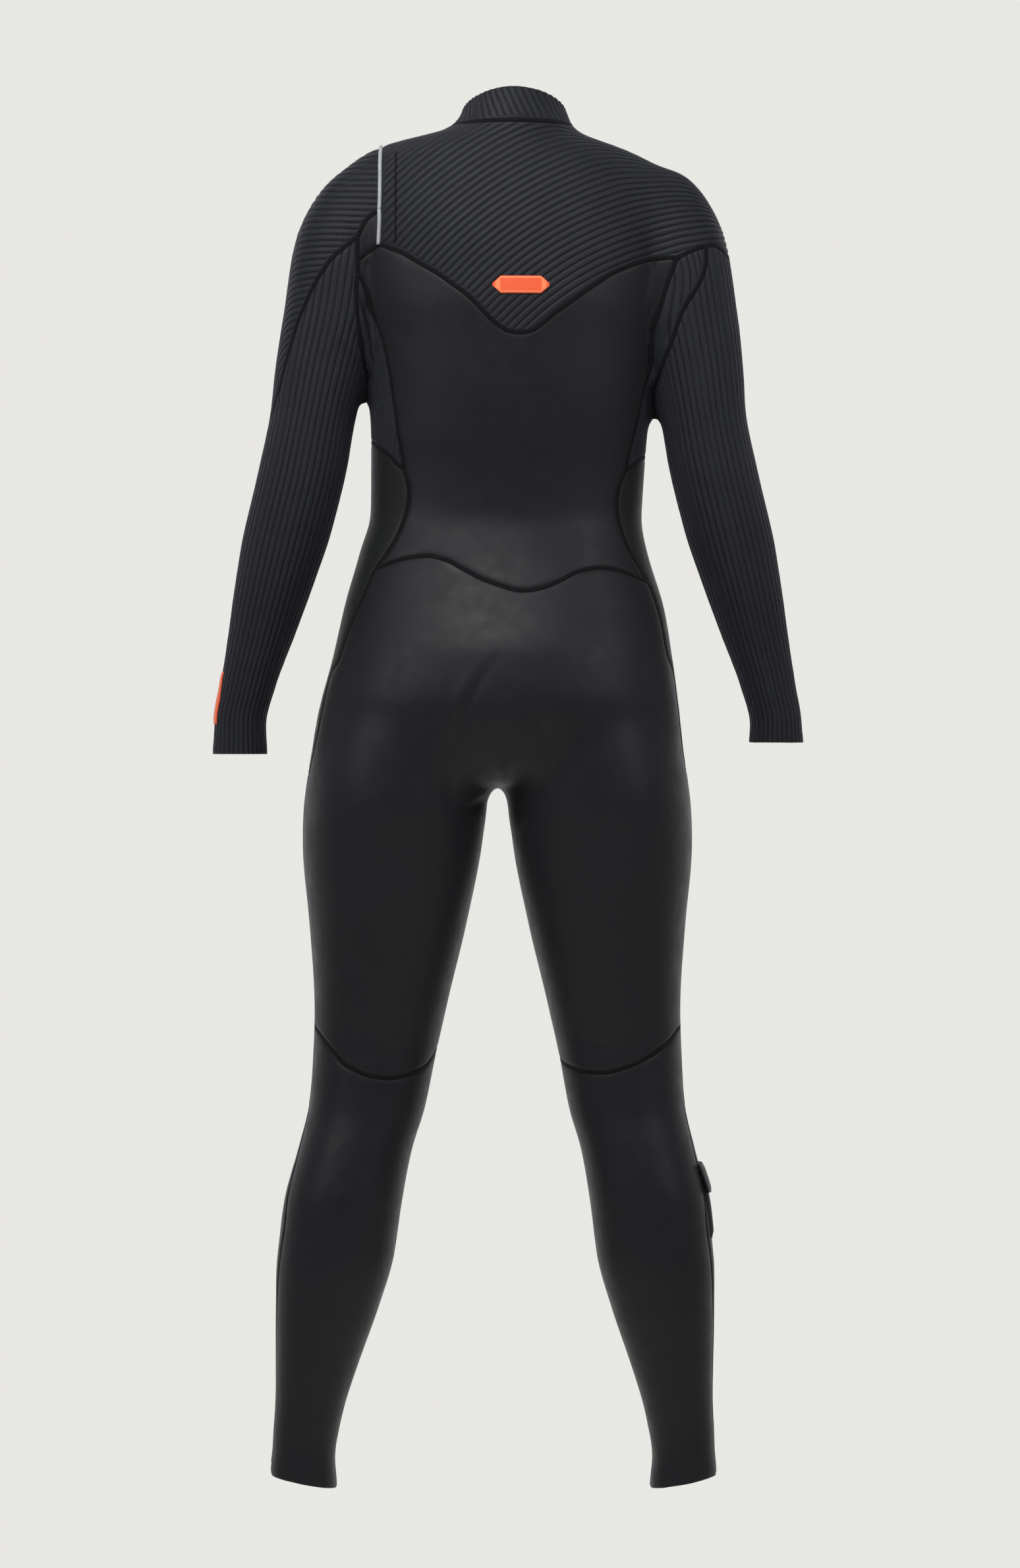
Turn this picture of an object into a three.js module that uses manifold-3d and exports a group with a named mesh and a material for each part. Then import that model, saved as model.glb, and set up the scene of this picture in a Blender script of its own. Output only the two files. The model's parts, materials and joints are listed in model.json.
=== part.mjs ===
// A women's full wetsuit, filled out as when it is worn: sewn neoprene panels over torso, arms and legs,
// a ribbed yoke that peels back over the head, a chest zip, inner seals, a key pocket and two patches.
// Millimetres. +X is the wearer's left, -Y the front, +Z up. The origin is the middle of the neck opening.
import * as THREE from "three";
import { mergeVertices } from "three/addons/utils/BufferGeometryUtils.js";
import Module from "manifold-3d";

const wasm = await Module();
wasm.setup();

// Driving dimensions, with heights measured up from the ankle hems.
const SUIT_HEIGHT = 1367;
const NECK_HEIGHT = 1334;
const GIRTH = 1; // share of the drawn widths and depths
const NEOPRENE = 3.5;
const SEAM_GAP = 0.4; // the butt joint between two panels
const CLEARANCE = 0.3; // between two separate layers
const SEAL_WALL = 2;
const SEAL_LENGTH = 32;
const PATCH_WALL = 1.2;
const ZIP_HEIGHT = 1206;
const ZIP_LENGTH = 186;
const ZIP_TAPE = 9;
const ZIP_TAPE_WALL = 1.4;
const ZIP_CHAIN = 5; // width of the closed teeth
const ZIP_TOOTH_PITCH = 8;
const POCKET_WALL = 2.2;
const BADGE_WIDTH = 55;
const BADGE_HEIGHT = 17;
const WRIST_TAB_LENGTH = 52;
const FAR = 400; // past every side of the suit

const K = SUIT_HEIGHT / 1367; // a longer suit is longer everywhere
const PELVIS_X = 13 * GIRTH; // the hips stand this far to the wearer's left of the collar

// ---------------------------------------------------------------- solids
function solid(geometry) {
  const plain = geometry.index ? geometry.toNonIndexed() : geometry.clone();
  plain.deleteAttribute("normal");
  plain.deleteAttribute("uv");
  const merged = mergeVertices(plain, 1e-4);
  const made = new wasm.Manifold(
    new wasm.Mesh({
      numProp: 3,
      vertProperties: merged.attributes.position.array,
      triVerts: new Uint32Array(merged.index.array),
    }),
  );
  return made;
}

function geometryOf(body) {
  const mesh = body.getMesh();
  const points = new Float32Array(mesh.numVert * 3);
  for (let i = 0; i < mesh.numVert; i++)
    points.set(mesh.vertProperties.subarray(i * mesh.numProp, i * mesh.numProp + 3), i * 3);
  const geometry = new THREE.BufferGeometry();
  geometry.setAttribute("position", new THREE.BufferAttribute(points, 3));
  geometry.setIndex(new THREE.BufferAttribute(mesh.triVerts, 1));
  geometry.computeVertexNormals();
  return geometry;
}

// A closed skin over rings of equal length, each a list of Vector3, with a fan over each end.
function skin(rings) {
  const count = rings[0].length;
  const points = rings.flat();
  const faces = [];
  for (let r = 0; r + 1 < rings.length; r++)
    for (let i = 0; i < count; i++) {
      const j = (i + 1) % count;
      const [a, b, c, d] = [r * count + i, r * count + j, (r + 1) * count + j, (r + 1) * count + i];
      faces.push(a, b, c, a, c, d);
    }
  for (const [r, flip] of [[0, true], [rings.length - 1, false]]) {
    const middle = points.length;
    points.push(rings[r].reduce((sum, p) => sum.add(p), new THREE.Vector3()).divideScalar(count));
    for (let i = 0; i < count; i++) {
      const [a, b] = [r * count + i, r * count + ((i + 1) % count)];
      faces.push(...(flip ? [b, a, middle] : [a, b, middle]));
    }
  }
  const geometry = new THREE.BufferGeometry().setFromPoints(points);
  geometry.setIndex(faces);
  return solid(geometry);
}

// One level of the body: height, middle x, half width, front y, back y, squareness, sideways tilt.
const level = (z, x, half, front, back, square = 2.15, tilt = 0) =>
  ({ z, x, half, front, back, square, tilt });

function ring(s, inset, sides) {
  const points = [];
  const middle = ((s.front + s.back) / 2) * GIRTH;
  const across = Math.max(s.half * GIRTH - inset, 1);
  const deep = Math.max(((s.back - s.front) / 2) * GIRTH - inset, 1);
  for (let i = 0; i < sides; i++) {
    const t = (i / sides) * Math.PI * 2;
    const x = Math.sign(Math.cos(t)) * Math.abs(Math.cos(t)) ** (2 / s.square) * across;
    const y = Math.sign(Math.sin(t)) * Math.abs(Math.sin(t)) ** (2 / s.square) * deep;
    points.push(new THREE.Vector3(s.x * GIRTH + x, middle + y, s.z * K + s.tilt * x));
  }
  return points;
}

// A limb or trunk. An open end runs on past its hem when it is hollowed, a closed end keeps its wall.
function loft(levels, sides, inset = 0, openLow = false, openHigh = false) {
  const rows = levels.map((s) => ring(s, inset, sides));
  const ends = [
    [rows[0], openLow ? -8 : inset],
    [rows.at(-1), openHigh ? 8 : -inset],
  ];
  if (inset) for (const [row, shift] of ends) for (const p of row) p.z += shift;
  return skin(rows);
}

// ---------------------------------------------------------------- the body's levels
const TRUNK = [
  level(684, 13, 130, -66, 74),
  level(702, 13, 173, -95, 108),
  level(731, 12.7, 183, -103, 118),
  level(765, 11, 176.5, -108, 127),
  level(809, 8, 167.5, -108, 122),
  level(861, 6.5, 157.5, -104, 102),
  level(913, 7, 142.5, -98, 84),
  level(952, 4.5, 134, -93, 76),
  level(991, 3, 135, -95, 79),
  level(1030, 1.5, 136.5, -106, 88),
  level(1069, 0, 141, -122, 95),
  level(1120, 0, 149, -133, 101),
  level(1160, 0, 155, -124, 105),
  level(1200, 0, 161, -106, 103),
  level(1240, 1, 165, -88, 97),
  level(1265, 3, 163, -76, 90, 2.1),
  level(1290, 5, 158, -62, 80, 2),
  level(1303, 10, 140, -53, 74, 2),
  level(1316, 11, 108, -47, 68, 2),
  level(1329, 1, 66, -46, 63, 2),
  level(1342, -3.5, 54, -47, 61, 2),
  level(1380, -3.5, 45, -44, 57, 2),
];

// The arms, as the wearer's left one; the right arm is its mirror image and its hem sits higher.
const LEFT_HEM = 716;
const RIGHT_HEM = 727;
const armLevels = (hem, lean) => [
  level(hem, 266 + lean, 27.5, -50, 2),
  level(744, 266 + lean, 26, -50, 3),
  level(783, 258 + lean, 27.8, -51, 8),
  level(835, 244 + lean, 33.5, -51, 19),
  level(887, 230.5 + lean, 39.4, -49, 32),
  level(939, 217 + lean, 43.5, -46, 41),
  level(991, 204 + lean, 43.8, -43, 47),
  level(1043, 193.7 + lean, 42.6, -42, 50),
  level(1095, 184 + lean / 2, 47, -43, 54),
  level(1147, 173, 51, -44, 58),
  level(1199, 165, 51.5, -44, 61),
  level(1238, 158, 49.5, -40, 60),
  level(1264, 151, 45, -34, 57),
  level(1280, 145, 38, -26, 52),
  level(1291, 138, 26, -14, 42),
];

// The legs, as offsets outwards from the middle of the pelvis. The left shin leans a little further out.
const legLevels = (side, lean) =>
  [
    [0, 187, 30.5, -30, 38, 0.2],
    [29, 187, 31, -31, 40, 0.2],
    [68, 182.5, 33.5, -33, 44, 0.1],
    [120, 174, 41.8, -37, 53, 0],
    [172, 165, 50.9, -42, 62, 0],
    [224, 157, 57.6, -48, 69, 0],
    [276, 150.5, 58.2, -53, 70, 0],
    [328, 139, 56.3, -60, 63, 0],
    [367, 128.5, 57.6, -66, 56, 0],
    [419, 121.5, 60.8, -74, 55, 0],
    [471, 115, 66, -79, 64, 0],
    [549, 108, 77.7, -86, 80, 0],
    [627, 102.5, 89.5, -92, 97, 0],
    [679, 97, 93.6, -98, 109, 0],
    [720, 95.5, 89.5, -97, 110, 0],
    [770, 88, 62, -60, 70, 0],
  ].map(([z, out, half, front, back, tilt]) => {
    const shin = Math.max(0, 1 - z / 419) * lean;
    return level(z, PELVIS_X / GIRTH + side * (out + shin), half, front, back, 2.1, side * tilt);
  });

const mirror = (levels) => levels.map((s) => ({ ...s, x: -s.x, tilt: -s.tilt }));
const LIMBS = {
  leftArm: armLevels(LEFT_HEM, 2),
  rightArm: mirror(armLevels(RIGHT_HEM, -3)),
  leftLeg: legLevels(1, 4),
  rightLeg: legLevels(-1, -4),
};
const SIDES = { trunk: 24, leftArm: 12, rightArm: 12, leftLeg: 14, rightLeg: 14 };

// The whole body as one solid, shrunk by the inset. Its hems and its neck stay open when it is shrunk.
function body(inset) {
  let whole = loft(TRUNK, SIDES.trunk, inset, false, true);
  for (const [name, levels] of Object.entries(LIMBS)) {
    whole = whole.add(loft(levels, SIDES[name], inset, true, false));
  }
  return whole;
}

// ---------------------------------------------------------------- seam blades
// A smooth path through points [a, b] of a flat drawing.
function smooth(points, perSpan = points.length > 8 ? 1 : 2) {
  if (points.length < 3) return points.map(([a, b]) => new THREE.Vector2(a, b));
  const curve = new THREE.SplineCurve(points.map(([a, b]) => new THREE.Vector2(a, b)));
  return curve.getPoints((points.length - 1) * perSpan);
}

// The outline of a thin band that follows a path.
function bandOutline(path, wide) {
  const sides = [[], []];
  path.forEach((p, i) => {
    const along = path[Math.min(i + 1, path.length - 1)].clone().sub(path[Math.max(i - 1, 0)]).normalize();
    const normal = new THREE.Vector2(-along.y, along.x).multiplyScalar(wide / 2);
    sides[0].push(p.clone().add(normal));
    sides[1].push(p.clone().sub(normal));
  });
  return [...sides[0], ...sides[1].reverse()];
}

// An outline of [x, z] points extruded from y0 to y1, seen from the front.
function throughY(outline, y0, y1) {
  const geometry = new THREE.ExtrudeGeometry(new THREE.Shape(outline), {
    depth: y1 - y0,
    bevelEnabled: false,
  });
  geometry.rotateX(Math.PI / 2);
  geometry.translate(0, y1, 0);
  return solid(geometry);
}

// An outline of [y, z] points extruded from x0 to x1, seen from the side.
function throughX(outline, x0, x1) {
  const geometry = new THREE.ExtrudeGeometry(new THREE.Shape(outline), {
    depth: x1 - x0,
    bevelEnabled: false,
  });
  const turned = new THREE.Matrix4().set(0, 0, 1, x0, 1, 0, 0, 0, 0, 1, 0, 0, 0, 0, 0, 1);
  geometry.applyMatrix4(turned);
  return solid(geometry);
}

const scaled = (points) => points.map(([a, z]) => [a * GIRTH, z * K]);
const polygon = (points) => scaled(points).map(([a, b]) => new THREE.Vector2(a, b));
// A path with both ends run on a little, so that it opens into the seams that it meets.
function runOn(path) {
  const ends = [path[0].clone().sub(path[1]), path.at(-1).clone().sub(path.at(-2))];
  ends.forEach((end) => end.setLength(2 * SEAM_GAP));
  return [path[0].clone().add(ends[0]), ...path.slice(1, -1), path.at(-1).clone().add(ends[1])];
}
const seamOutline = (points) => bandOutline(runOn(smooth(scaled(points))), SEAM_GAP);
const seamFacing = (points, y0, y1) => throughY(seamOutline(points), y0, y1);
const seamBeside = (points, x0, x1) => throughX(seamOutline(points), x0, x1);
const backSeam = (points) => seamFacing(points, -1, FAR);
const frontSeam = (points) => seamFacing(points, -FAR, 1);
const aroundSeam = (points) => seamFacing(points, -FAR, FAR);

// The collar's seam: level behind and beside the neck, dipping in front.
const COLLAR_SEAM = [[-160, 1318], [-50, 1320], [-20, 1328], [8, 1335], [40, 1334], [160, 1333]];
const COLLAR_RIM = [[-160, 1330], [-44, 1338], [8, 1349], [40, 1360], [58, 1367], [160, 1384]];

const YOKE_V = [[127, 1212], [103, 1201], [66, 1178], [37, 1156], [16, 1133], [2, 1123], [-23, 1123],
  [-40, 1140], [-66, 1159], [-98, 1182], [-131, 1197], [-164, 1201]];
const YOKE_RIGHT_ARC = [[-164, 1201], [-178, 1207], [-193, 1214], [-206, 1210], [-216, 1198], [-223, 1178],
  [-240, 1140]];
const YOKE_FRONT_RIGHT = [[-90, 1206], [-128, 1209], [-170, 1213], [-193, 1214], [-206, 1210],
  [-216, 1198], [-223, 1178], [-240, 1140]];
const SHOULDER_SEAM_Y = -12; // just in front of the shoulders
const OVERLAY_X = 127;
const OVERLAY_EDGE = [[OVERLAY_X, 1340], [OVERLAY_X, 1212]];
const OVERLAY_FRONT_LEFT = [[90, 1206], [110, 1211], [123, 1228], [OVERLAY_X, 1250], [OVERLAY_X, 1262],
  [OVERLAY_X, 1280], [OVERLAY_X, 1340]];
const GUSSET_TOP = [[127, 1244], [139, 1239], [149, 1221], [151, 1195]];
const GUSSET_LOW = [[127, 1212], [140, 1205], [151, 1195]];
const LEFT_SLEEVE_SEAM = [[149, 1221], [164, 1208], [174, 1200], [194, 1171], [208, 1138], [222, 1091],
  [239, 1035], [252, 982], [266, 920]];
const LEFT_ARMHOLE = [[151, 1195], [151, 1165], [147, 1120], [143, 1084], [143.5, 1066], [144, 1050]];
const LEFT_ARMHOLE_FRONT = [[124, 1237], [143, 1212], [151, 1170], [147, 1120], [143, 1084], [143.5, 1066],
  [144, 1050]];
const RIGHT_ARMHOLE = [[-192, 1215], [-191, 1192], [-183, 1172], [-168, 1150], [-157, 1117], [-147, 1092],
  [-143.6, 1080], [-141.7, 1064], [-142, 1045]];
const RIGHT_ARMHOLE_FRONT = [[-150, 1214], [-155, 1170], [-151, 1120], [-147, 1092], [-143.6, 1080],
  [-141.7, 1064], [-142, 1045]];
const LEFT_BACK_SEAM = [[151, 1195], [139, 1160], [124, 1119], [115, 1070], [110, 1030], [103, 989]];
const RIGHT_BACK_SEAM = [[-164, 1202], [-152, 1171], [-140, 1128], [-131, 1077], [-120, 1026], [-112, 991]];
const LEFT_FRONT_SEAM = [[153, 1154], [134, 1115], [119, 1060], [103, 989]];
const RIGHT_FRONT_SEAM = [[-156, 1154], [-138, 1115], [-124, 1060], [-112, 991]];
const LEFT_UNDERARM_HEM = [[103, 989], [119, 1008], [137, 1023], [170, 1046]];
const RIGHT_UNDERARM_HEM = [[-112, 991], [-122, 1001], [-133, 1009], [-165, 1030]];
const LEFT_WAIST_SIDE = [[103, 989], [99, 970], [102, 952], [116, 918], [134, 896]];
const RIGHT_WAIST_SIDE = [[-112, 991], [-104, 970], [-105, 947], [-116, 916], [-134, 884]];
const LEFT_FRONT_SIDE = [[103, 989], [98, 960], [100, 930], [108, 896]];
const RIGHT_FRONT_SIDE = [[-112, 991], [-100, 960], [-98, 930], [-96, 896]];
const WAIST_BACK = [[134, 896], [107, 906], [79, 909], [60, 903], [28, 885], [-10, 872], [-38, 878],
  [-66, 894], [-92, 898], [-112, 894], [-134, 884]];
const WAIST_FRONT = [[108, 896], [80, 884], [40, 872], [6, 868], [-28, 872], [-68, 884], [-96, 896]];
const LEFT_HIP_FRONT = [[108, 896], [130, 850], [160, 780], [190, 712], [222, 664]];
const RIGHT_HIP_FRONT = [[-96, 896], [-112, 850], [-138, 780], [-166, 712], [-196, 664]];
// Side seams, as [y, z] seen from beside the wearer.
const LEFT_HIP_SEAM = [[134, 896], [151, 852], [164, 817], [172, 790]];
const RIGHT_HIP_SEAM = [[-134, 884], [-141, 866], [-147, 845], [-154, 806], [-155.5, 792]];
const OUTSEAM_LOW = [[8, 600], [0, 510], [-7, 440], [-4, 395], [6, 355], [17, 320], [24, 300], [34, 255],
  [29, 209], [19, 164], [12, 100], [6, -20]];
const LEFT_OUTSEAM = [[75, 822], [32, 798], [36, 772], [38, 736], [30, 708], [19, 676], ...OUTSEAM_LOW];
const RIGHT_OUTSEAM = [[60, 828], [24, 798], [24, 753], [20, 718], [13, 682], ...OUTSEAM_LOW];
const INSEAM = [[-8, 730], [-10, 660], [-14, 560], [-18, 450], [-14, 360], [-4, 260], [4, 160], [4, 60],
  [4, -20]];
const ARM_SEAM = [[11, 1216], [9, 1160], [6, 1090], [4, 1040], [2, 940], [-6, 860], [-20, 780], [-24, 690]];
const KNEE_BACK = {
  left: [[206, 455], [193, 447], [181, 432], [163, 412], [142, 402], [118, 398], [98, 402], [82, 409],
    [74, 424], [60, 440]],
  right: [[-34, 430], [-48, 415], [-55, 409], [-73, 404], [-94, 404], [-118, 411], [-138, 421],
    [-156, 433], [-163, 443], [-178, 456]],
};

// Where a limb's middle lies at a height.
function limbX(rows, z) {
  const above = Math.max(1, rows.findIndex((s) => s.z >= z));
  const [low, high] = [rows[above - 1], rows[above]];
  return low.x + ((high.x - low.x) * (z - low.z)) / (high.z - low.z);
}
const legX = (side, z) => limbX(side === "left" ? LIMBS.leftLeg : LIMBS.rightLeg, z);
const armX = (side, z) => limbX(side === "left" ? LIMBS.leftArm : LIMBS.rightArm, z);

// The knee pads' edges: parabolas above and below the knee.
const KNEE_TOP = { z: 520, half: 50, drop: 8 };
const KNEE_LOW = { z: 352, half: 46, drop: -10 };
const kneeEdge = (side, { z, half, drop }) =>
  [-80, -half, 0, half, 80].map((x) => [legX(side, z) + x, z - (x / half) ** 2 * drop]);

// ---------------------------------------------------------------- the shell and its panels
const outer = body(0);
const hollow = body(NEOPRENE);
const rimAbove = throughX(
  [...smooth(scaled(COLLAR_RIM)), new THREE.Vector2(FAR, SUIT_HEIGHT + FAR),
    new THREE.Vector2(-FAR, SUIT_HEIGHT + FAR)],
  -FAR, FAR);
const shell = outer.subtract(hollow).subtract(rimAbove);

// The zip lies on an arc about an upright axis, fitted to the chest at the middle and both ends.
const chestLevel = (() => {
  const above = TRUNK.findIndex((s) => s.z >= ZIP_HEIGHT);
  const [low, high] = [TRUNK[above - 1], TRUNK[above]];
  const t = (ZIP_HEIGHT - low.z) / (high.z - low.z);
  const mix = (key) => low[key] + (high[key] - low[key]) * t;
  return { low, high, half: mix("half") * GIRTH, front: mix("front") * GIRTH, back: mix("back") * GIRTH,
    square: mix("square") };
})();
const chestY = (x) => {
  const middle = (chestLevel.front + chestLevel.back) / 2;
  const deep = (chestLevel.back - chestLevel.front) / 2;
  const { half, square } = chestLevel;
  return middle - deep * (1 - (Math.abs(x) / half) ** square) ** (1 / square);
};
const zipEnd = ZIP_LENGTH / 2;
const zipSag = chestY(zipEnd) - chestY(0);
const ZIP_RADIUS = (zipEnd ** 2 + zipSag ** 2) / (2 * zipSag);
const ZIP_AXIS_Y = chestY(0) + ZIP_RADIUS;
const CHEST_SLOPE = ((chestLevel.high.front - chestLevel.low.front) * GIRTH) /
  ((chestLevel.high.z - chestLevel.low.z) * K); // how fast the chest falls back with height
const ZIP_HALF_ANGLE = Math.asin(zipEnd / ZIP_RADIUS);
const zipZ = ZIP_HEIGHT * K;

// A profile of [outwards, up] points, measured from the chest at the zip, swept along the zip's arc.
function sweepZip(profile, from, to, steps) {
  const rings = [];
  for (let i = 0; i <= steps; i++) {
    const turn = from + ((to - from) * i) / steps;
    rings.push(profile.map(([out, up]) => {
      const radius = ZIP_RADIUS + out - up * CHEST_SLOPE;
      return new THREE.Vector3(Math.sin(turn) * radius, ZIP_AXIS_Y - Math.cos(turn) * radius, zipZ + up);
    }));
  }
  return skin(rings);
}
const band = (out0, out1, up0, up1) => [[out0, up0], [out0, up1], [out1, up1], [out1, up0]];
const slotHalf = ZIP_CHAIN / 2 + ZIP_TAPE;
const zipSlot = sweepZip(band(-22, 22, -slotHalf, slotHalf), -ZIP_HALF_ANGLE, ZIP_HALF_ANGLE, 14);

// Where each seam's side bands may cut.
const legLimit = polygon([[-270, -40], [-215, 640], [-188, 840], [200, 840],
  [208, 780], [235, 640], [285, -40]]);
const betweenLegs = polygon([[legX("right", 30), -40], [legX("right", 400), 400], [legX("right", 679), 679],
  [-60, 705], [86, 705], [legX("left", 679), 679], [legX("left", 400), 400], [legX("left", 30), -40]]);
// The side of an arm that one of its seams lies on, from the wrist or the armpit up to a height.
const UNDERARM_REACH = 46; // above the elbow the inner side stops short of the trunk
const INNER_REACH = 62;
const OUTER_REACH = 75;
function armRegion(side, from, to, outward) {
  const sign = side === "left" ? 1 : -1;
  const reach = (z) => (outward ? OUTER_REACH : z > 1050 ? -UNDERARM_REACH : -INNER_REACH);
  const middle = [from, 760, 860, 960, 1040, to].map((z) => [armX(side, Math.max(z, 730)), z]);
  const edge = middle.map(([x, z]) => [x + sign * reach(z), z]).reverse();
  return throughY(polygon([...middle, ...edge]), -FAR, FAR);
}

const sideBands = seamBeside(LEFT_OUTSEAM, 0, FAR)
  .add(seamBeside(RIGHT_OUTSEAM, -FAR, 0))
  .intersect(throughY(legLimit, -FAR, FAR))
  .subtract(throughY(betweenLegs, -FAR, FAR));
const inseamBand = seamBeside(INSEAM, -FAR, FAR).intersect(throughY(betweenLegs, -FAR, FAR));
const armBand = seamBeside(ARM_SEAM, -FAR, FAR);
const armBands = [
  armBand.intersect(armRegion("left", 690, 1064, true)),
  armBand.intersect(armRegion("left", 690, 1100, false)),
  armBand.intersect(armRegion("right", 690, 1207, true)),
  armBand.intersect(armRegion("right", 690, 1100, false)),
];

const aroundNeck = solid(new THREE.BoxGeometry(150, 300, 200).translate(0, 0, NECK_HEIGHT * K));
const SEAMS = [
  seamBeside(COLLAR_SEAM, -150, 150).intersect(aroundNeck),
  backSeam(YOKE_V), backSeam(YOKE_RIGHT_ARC), frontSeam(YOKE_FRONT_RIGHT),
  backSeam(OVERLAY_EDGE), frontSeam(OVERLAY_FRONT_LEFT),
  seamBeside([[SHOULDER_SEAM_Y, 1185], [SHOULDER_SEAM_Y, 1331]], -FAR, 128 * GIRTH),
  backSeam(GUSSET_TOP), backSeam(GUSSET_LOW), backSeam(LEFT_SLEEVE_SEAM),
  backSeam(LEFT_ARMHOLE), frontSeam(LEFT_ARMHOLE_FRONT),
  backSeam(RIGHT_ARMHOLE), frontSeam(RIGHT_ARMHOLE_FRONT),
  backSeam(LEFT_BACK_SEAM), backSeam(RIGHT_BACK_SEAM),
  frontSeam(LEFT_FRONT_SEAM), frontSeam(RIGHT_FRONT_SEAM),
  aroundSeam(LEFT_UNDERARM_HEM), aroundSeam(RIGHT_UNDERARM_HEM),
  backSeam(LEFT_WAIST_SIDE), backSeam(RIGHT_WAIST_SIDE),
  frontSeam(LEFT_FRONT_SIDE), frontSeam(RIGHT_FRONT_SIDE),
  backSeam(WAIST_BACK), frontSeam(WAIST_FRONT), backSeam(LEFT_HIP_SEAM), backSeam(RIGHT_HIP_SEAM),
  seamFacing(LEFT_HIP_FRONT, -FAR, 42), seamFacing(RIGHT_HIP_FRONT, -FAR, 40),
  sideBands, inseamBand, ...armBands,
];
const kneeBackSeams = ["left", "right"].map((side) => aroundSeam(KNEE_BACK[side]));
const kneeFrontSeams = ["left", "right"].flatMap((side) =>
  [KNEE_TOP, KNEE_LOW].map((edge) => aroundSeam(kneeEdge(side, edge))));
const opened = (piece, seams) => seams.reduce((rest, seam) => rest.subtract(seam), piece).decompose();
const PROBE = { wide: 3, deep: 300, out: 152 };
const probeAt = ([x, z, facing]) =>
  solid(new THREE.BoxGeometry(PROBE.wide, PROBE.deep, PROBE.wide)
    .translate(x * GIRTH, facing === "back" ? PROBE.out : -PROBE.out, z * K));
const holds = (piece, anchor) => piece.intersect(probeAt(anchor)).volume() > 1;
const pieces = opened(shell.subtract(zipSlot), SEAMS).flatMap((piece) => {
  if (holds(piece, [60, 800, "back"])) return opened(piece, kneeBackSeams);
  if (holds(piece, [60, 800, "front"])) return opened(piece, kneeFrontSeams);
  return [piece];
});

// Each panel is found by a thin probe through it: [x, z, facing], facing "back" or "front".
const ANCHORS = {
  collar: [0, 1352, "back"],
  back_yoke: [0, 1250, "back"],
  chest_overlay: [0, 1250, "front"],
  left_shoulder_gusset: [140, 1222, "back"],
  left_sleeve_front: [200, 1100, "front"],
  left_sleeve_back: [190, 1100, "back"],
  right_sleeve_front: [-200, 1100, "front"],
  right_sleeve_back: [-190, 1100, "back"],
  left_underarm_panel: [126, 1080, "back"],
  right_underarm_panel: [-138, 1080, "back"],
  back_panel: [0, 1000, "back"],
  front_panel: [0, 1000, "front"],
  left_side_panel: [122, 950, "back"],
  right_side_panel: [-122, 950, "back"],
  seat_panel: [60, 800, "back"],
  lower_front_panel: [60, 800, "front"],
  left_knee_pad: [132, 430, "front"],
  right_knee_pad: [-106, 430, "front"],
  left_calf_panel: [175, 250, "back"],
  right_calf_panel: [-140, 250, "back"],
  left_shin_panel: [175, 250, "front"],
  right_shin_panel: [-140, 250, "front"],
};

const COLOUR = {
  ribbed: 0x1b1d2b,
  smooth: 0x1c1e22,
  side: 0x171a1a,
  seal: 0x101114,
  edge: 0x8c8f94,
  tape: 0x141518,
  plastic: 0x202226,
  patch: 0xe8532a,
};
const ROUGHNESS = { plastic: 0.4, cloth: 0.75 };
const material = (look) =>
  new THREE.MeshStandardMaterial({
    color: COLOUR[look],
    roughness: ROUGHNESS[look] ?? ROUGHNESS.cloth,
    metalness: 0,
  });

const suit = new THREE.Group();
function add(name, look, piece, parent = suit) {
  const mesh = new THREE.Mesh(geometryOf(piece), material(look));
  mesh.name = name;
  parent.add(mesh);
}

const RIBBED = ["collar", "back_yoke", "chest_overlay", "left_sleeve_front", "left_sleeve_back",
  "right_sleeve_front", "right_sleeve_back", "left_underarm_panel", "right_underarm_panel"];
for (const [name, anchor] of Object.entries(ANCHORS)) {
  const look = RIBBED.includes(name) ? "ribbed" : name.includes("side") ? "side" : "smooth";
  add(name, look, pieces.find((piece) => holds(piece, anchor)));
}

// ---------------------------------------------------------------- layers that follow the body
// A sheet that lies over part of the body (or, with negative heights, under it).
function layer(levels, sides, low, high) {
  return loft(levels, sides, -high, true, true).subtract(loft(levels, sides, -low, true, true));
}
const sealOut = -(NEOPRENE + CLEARANCE);
const sealIn = sealOut - SEAL_WALL;
const WRIST_INSET = 3; // how far a seal stands back from its hem
const ANKLE_INSET = 9;
const slab = (z0, z1) => throughY(
  [[-FAR, z0], [FAR, z0], [FAR, z1], [-FAR, z1]].map(([x, z]) => new THREE.Vector2(x, z)), -FAR, FAR);
for (const [name, limb, hem] of [
  ["left_wrist_seal", "leftArm", LEFT_HEM],
  ["right_wrist_seal", "rightArm", RIGHT_HEM],
  ["left_ankle_seal", "leftLeg", 0],
  ["right_ankle_seal", "rightLeg", 0],
]) {
  const from = hem * K + (hem ? WRIST_INSET : ANKLE_INSET);
  const lining = layer(LIMBS[limb], SIDES[limb], sealIn, sealOut);
  add(name, "seal", lining.intersect(slab(from, from + SEAL_LENGTH)));
}
const NECK_SEAL = { from: 1340, belowRim: 4 };
const BARRIER = { half: 104, low: 1182, high: 1232 };
add("neck_seal", "seal", layer(TRUNK, SIDES.trunk, sealIn, sealOut)
  .intersect(slab(NECK_SEAL.from * K, SUIT_HEIGHT + FAR))
  .subtract(rimAbove.translate([0, 0, -NECK_SEAL.belowRim])));
add("inner_zip_barrier", "seal", layer(TRUNK, SIDES.trunk, sealIn, sealOut).intersect(
  throughY(polygon([[-BARRIER.half, BARRIER.low], [BARRIER.half, BARRIER.low], [BARRIER.half, BARRIER.high],
    [-BARRIER.half, BARRIER.high]]), -FAR, 0)));

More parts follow.
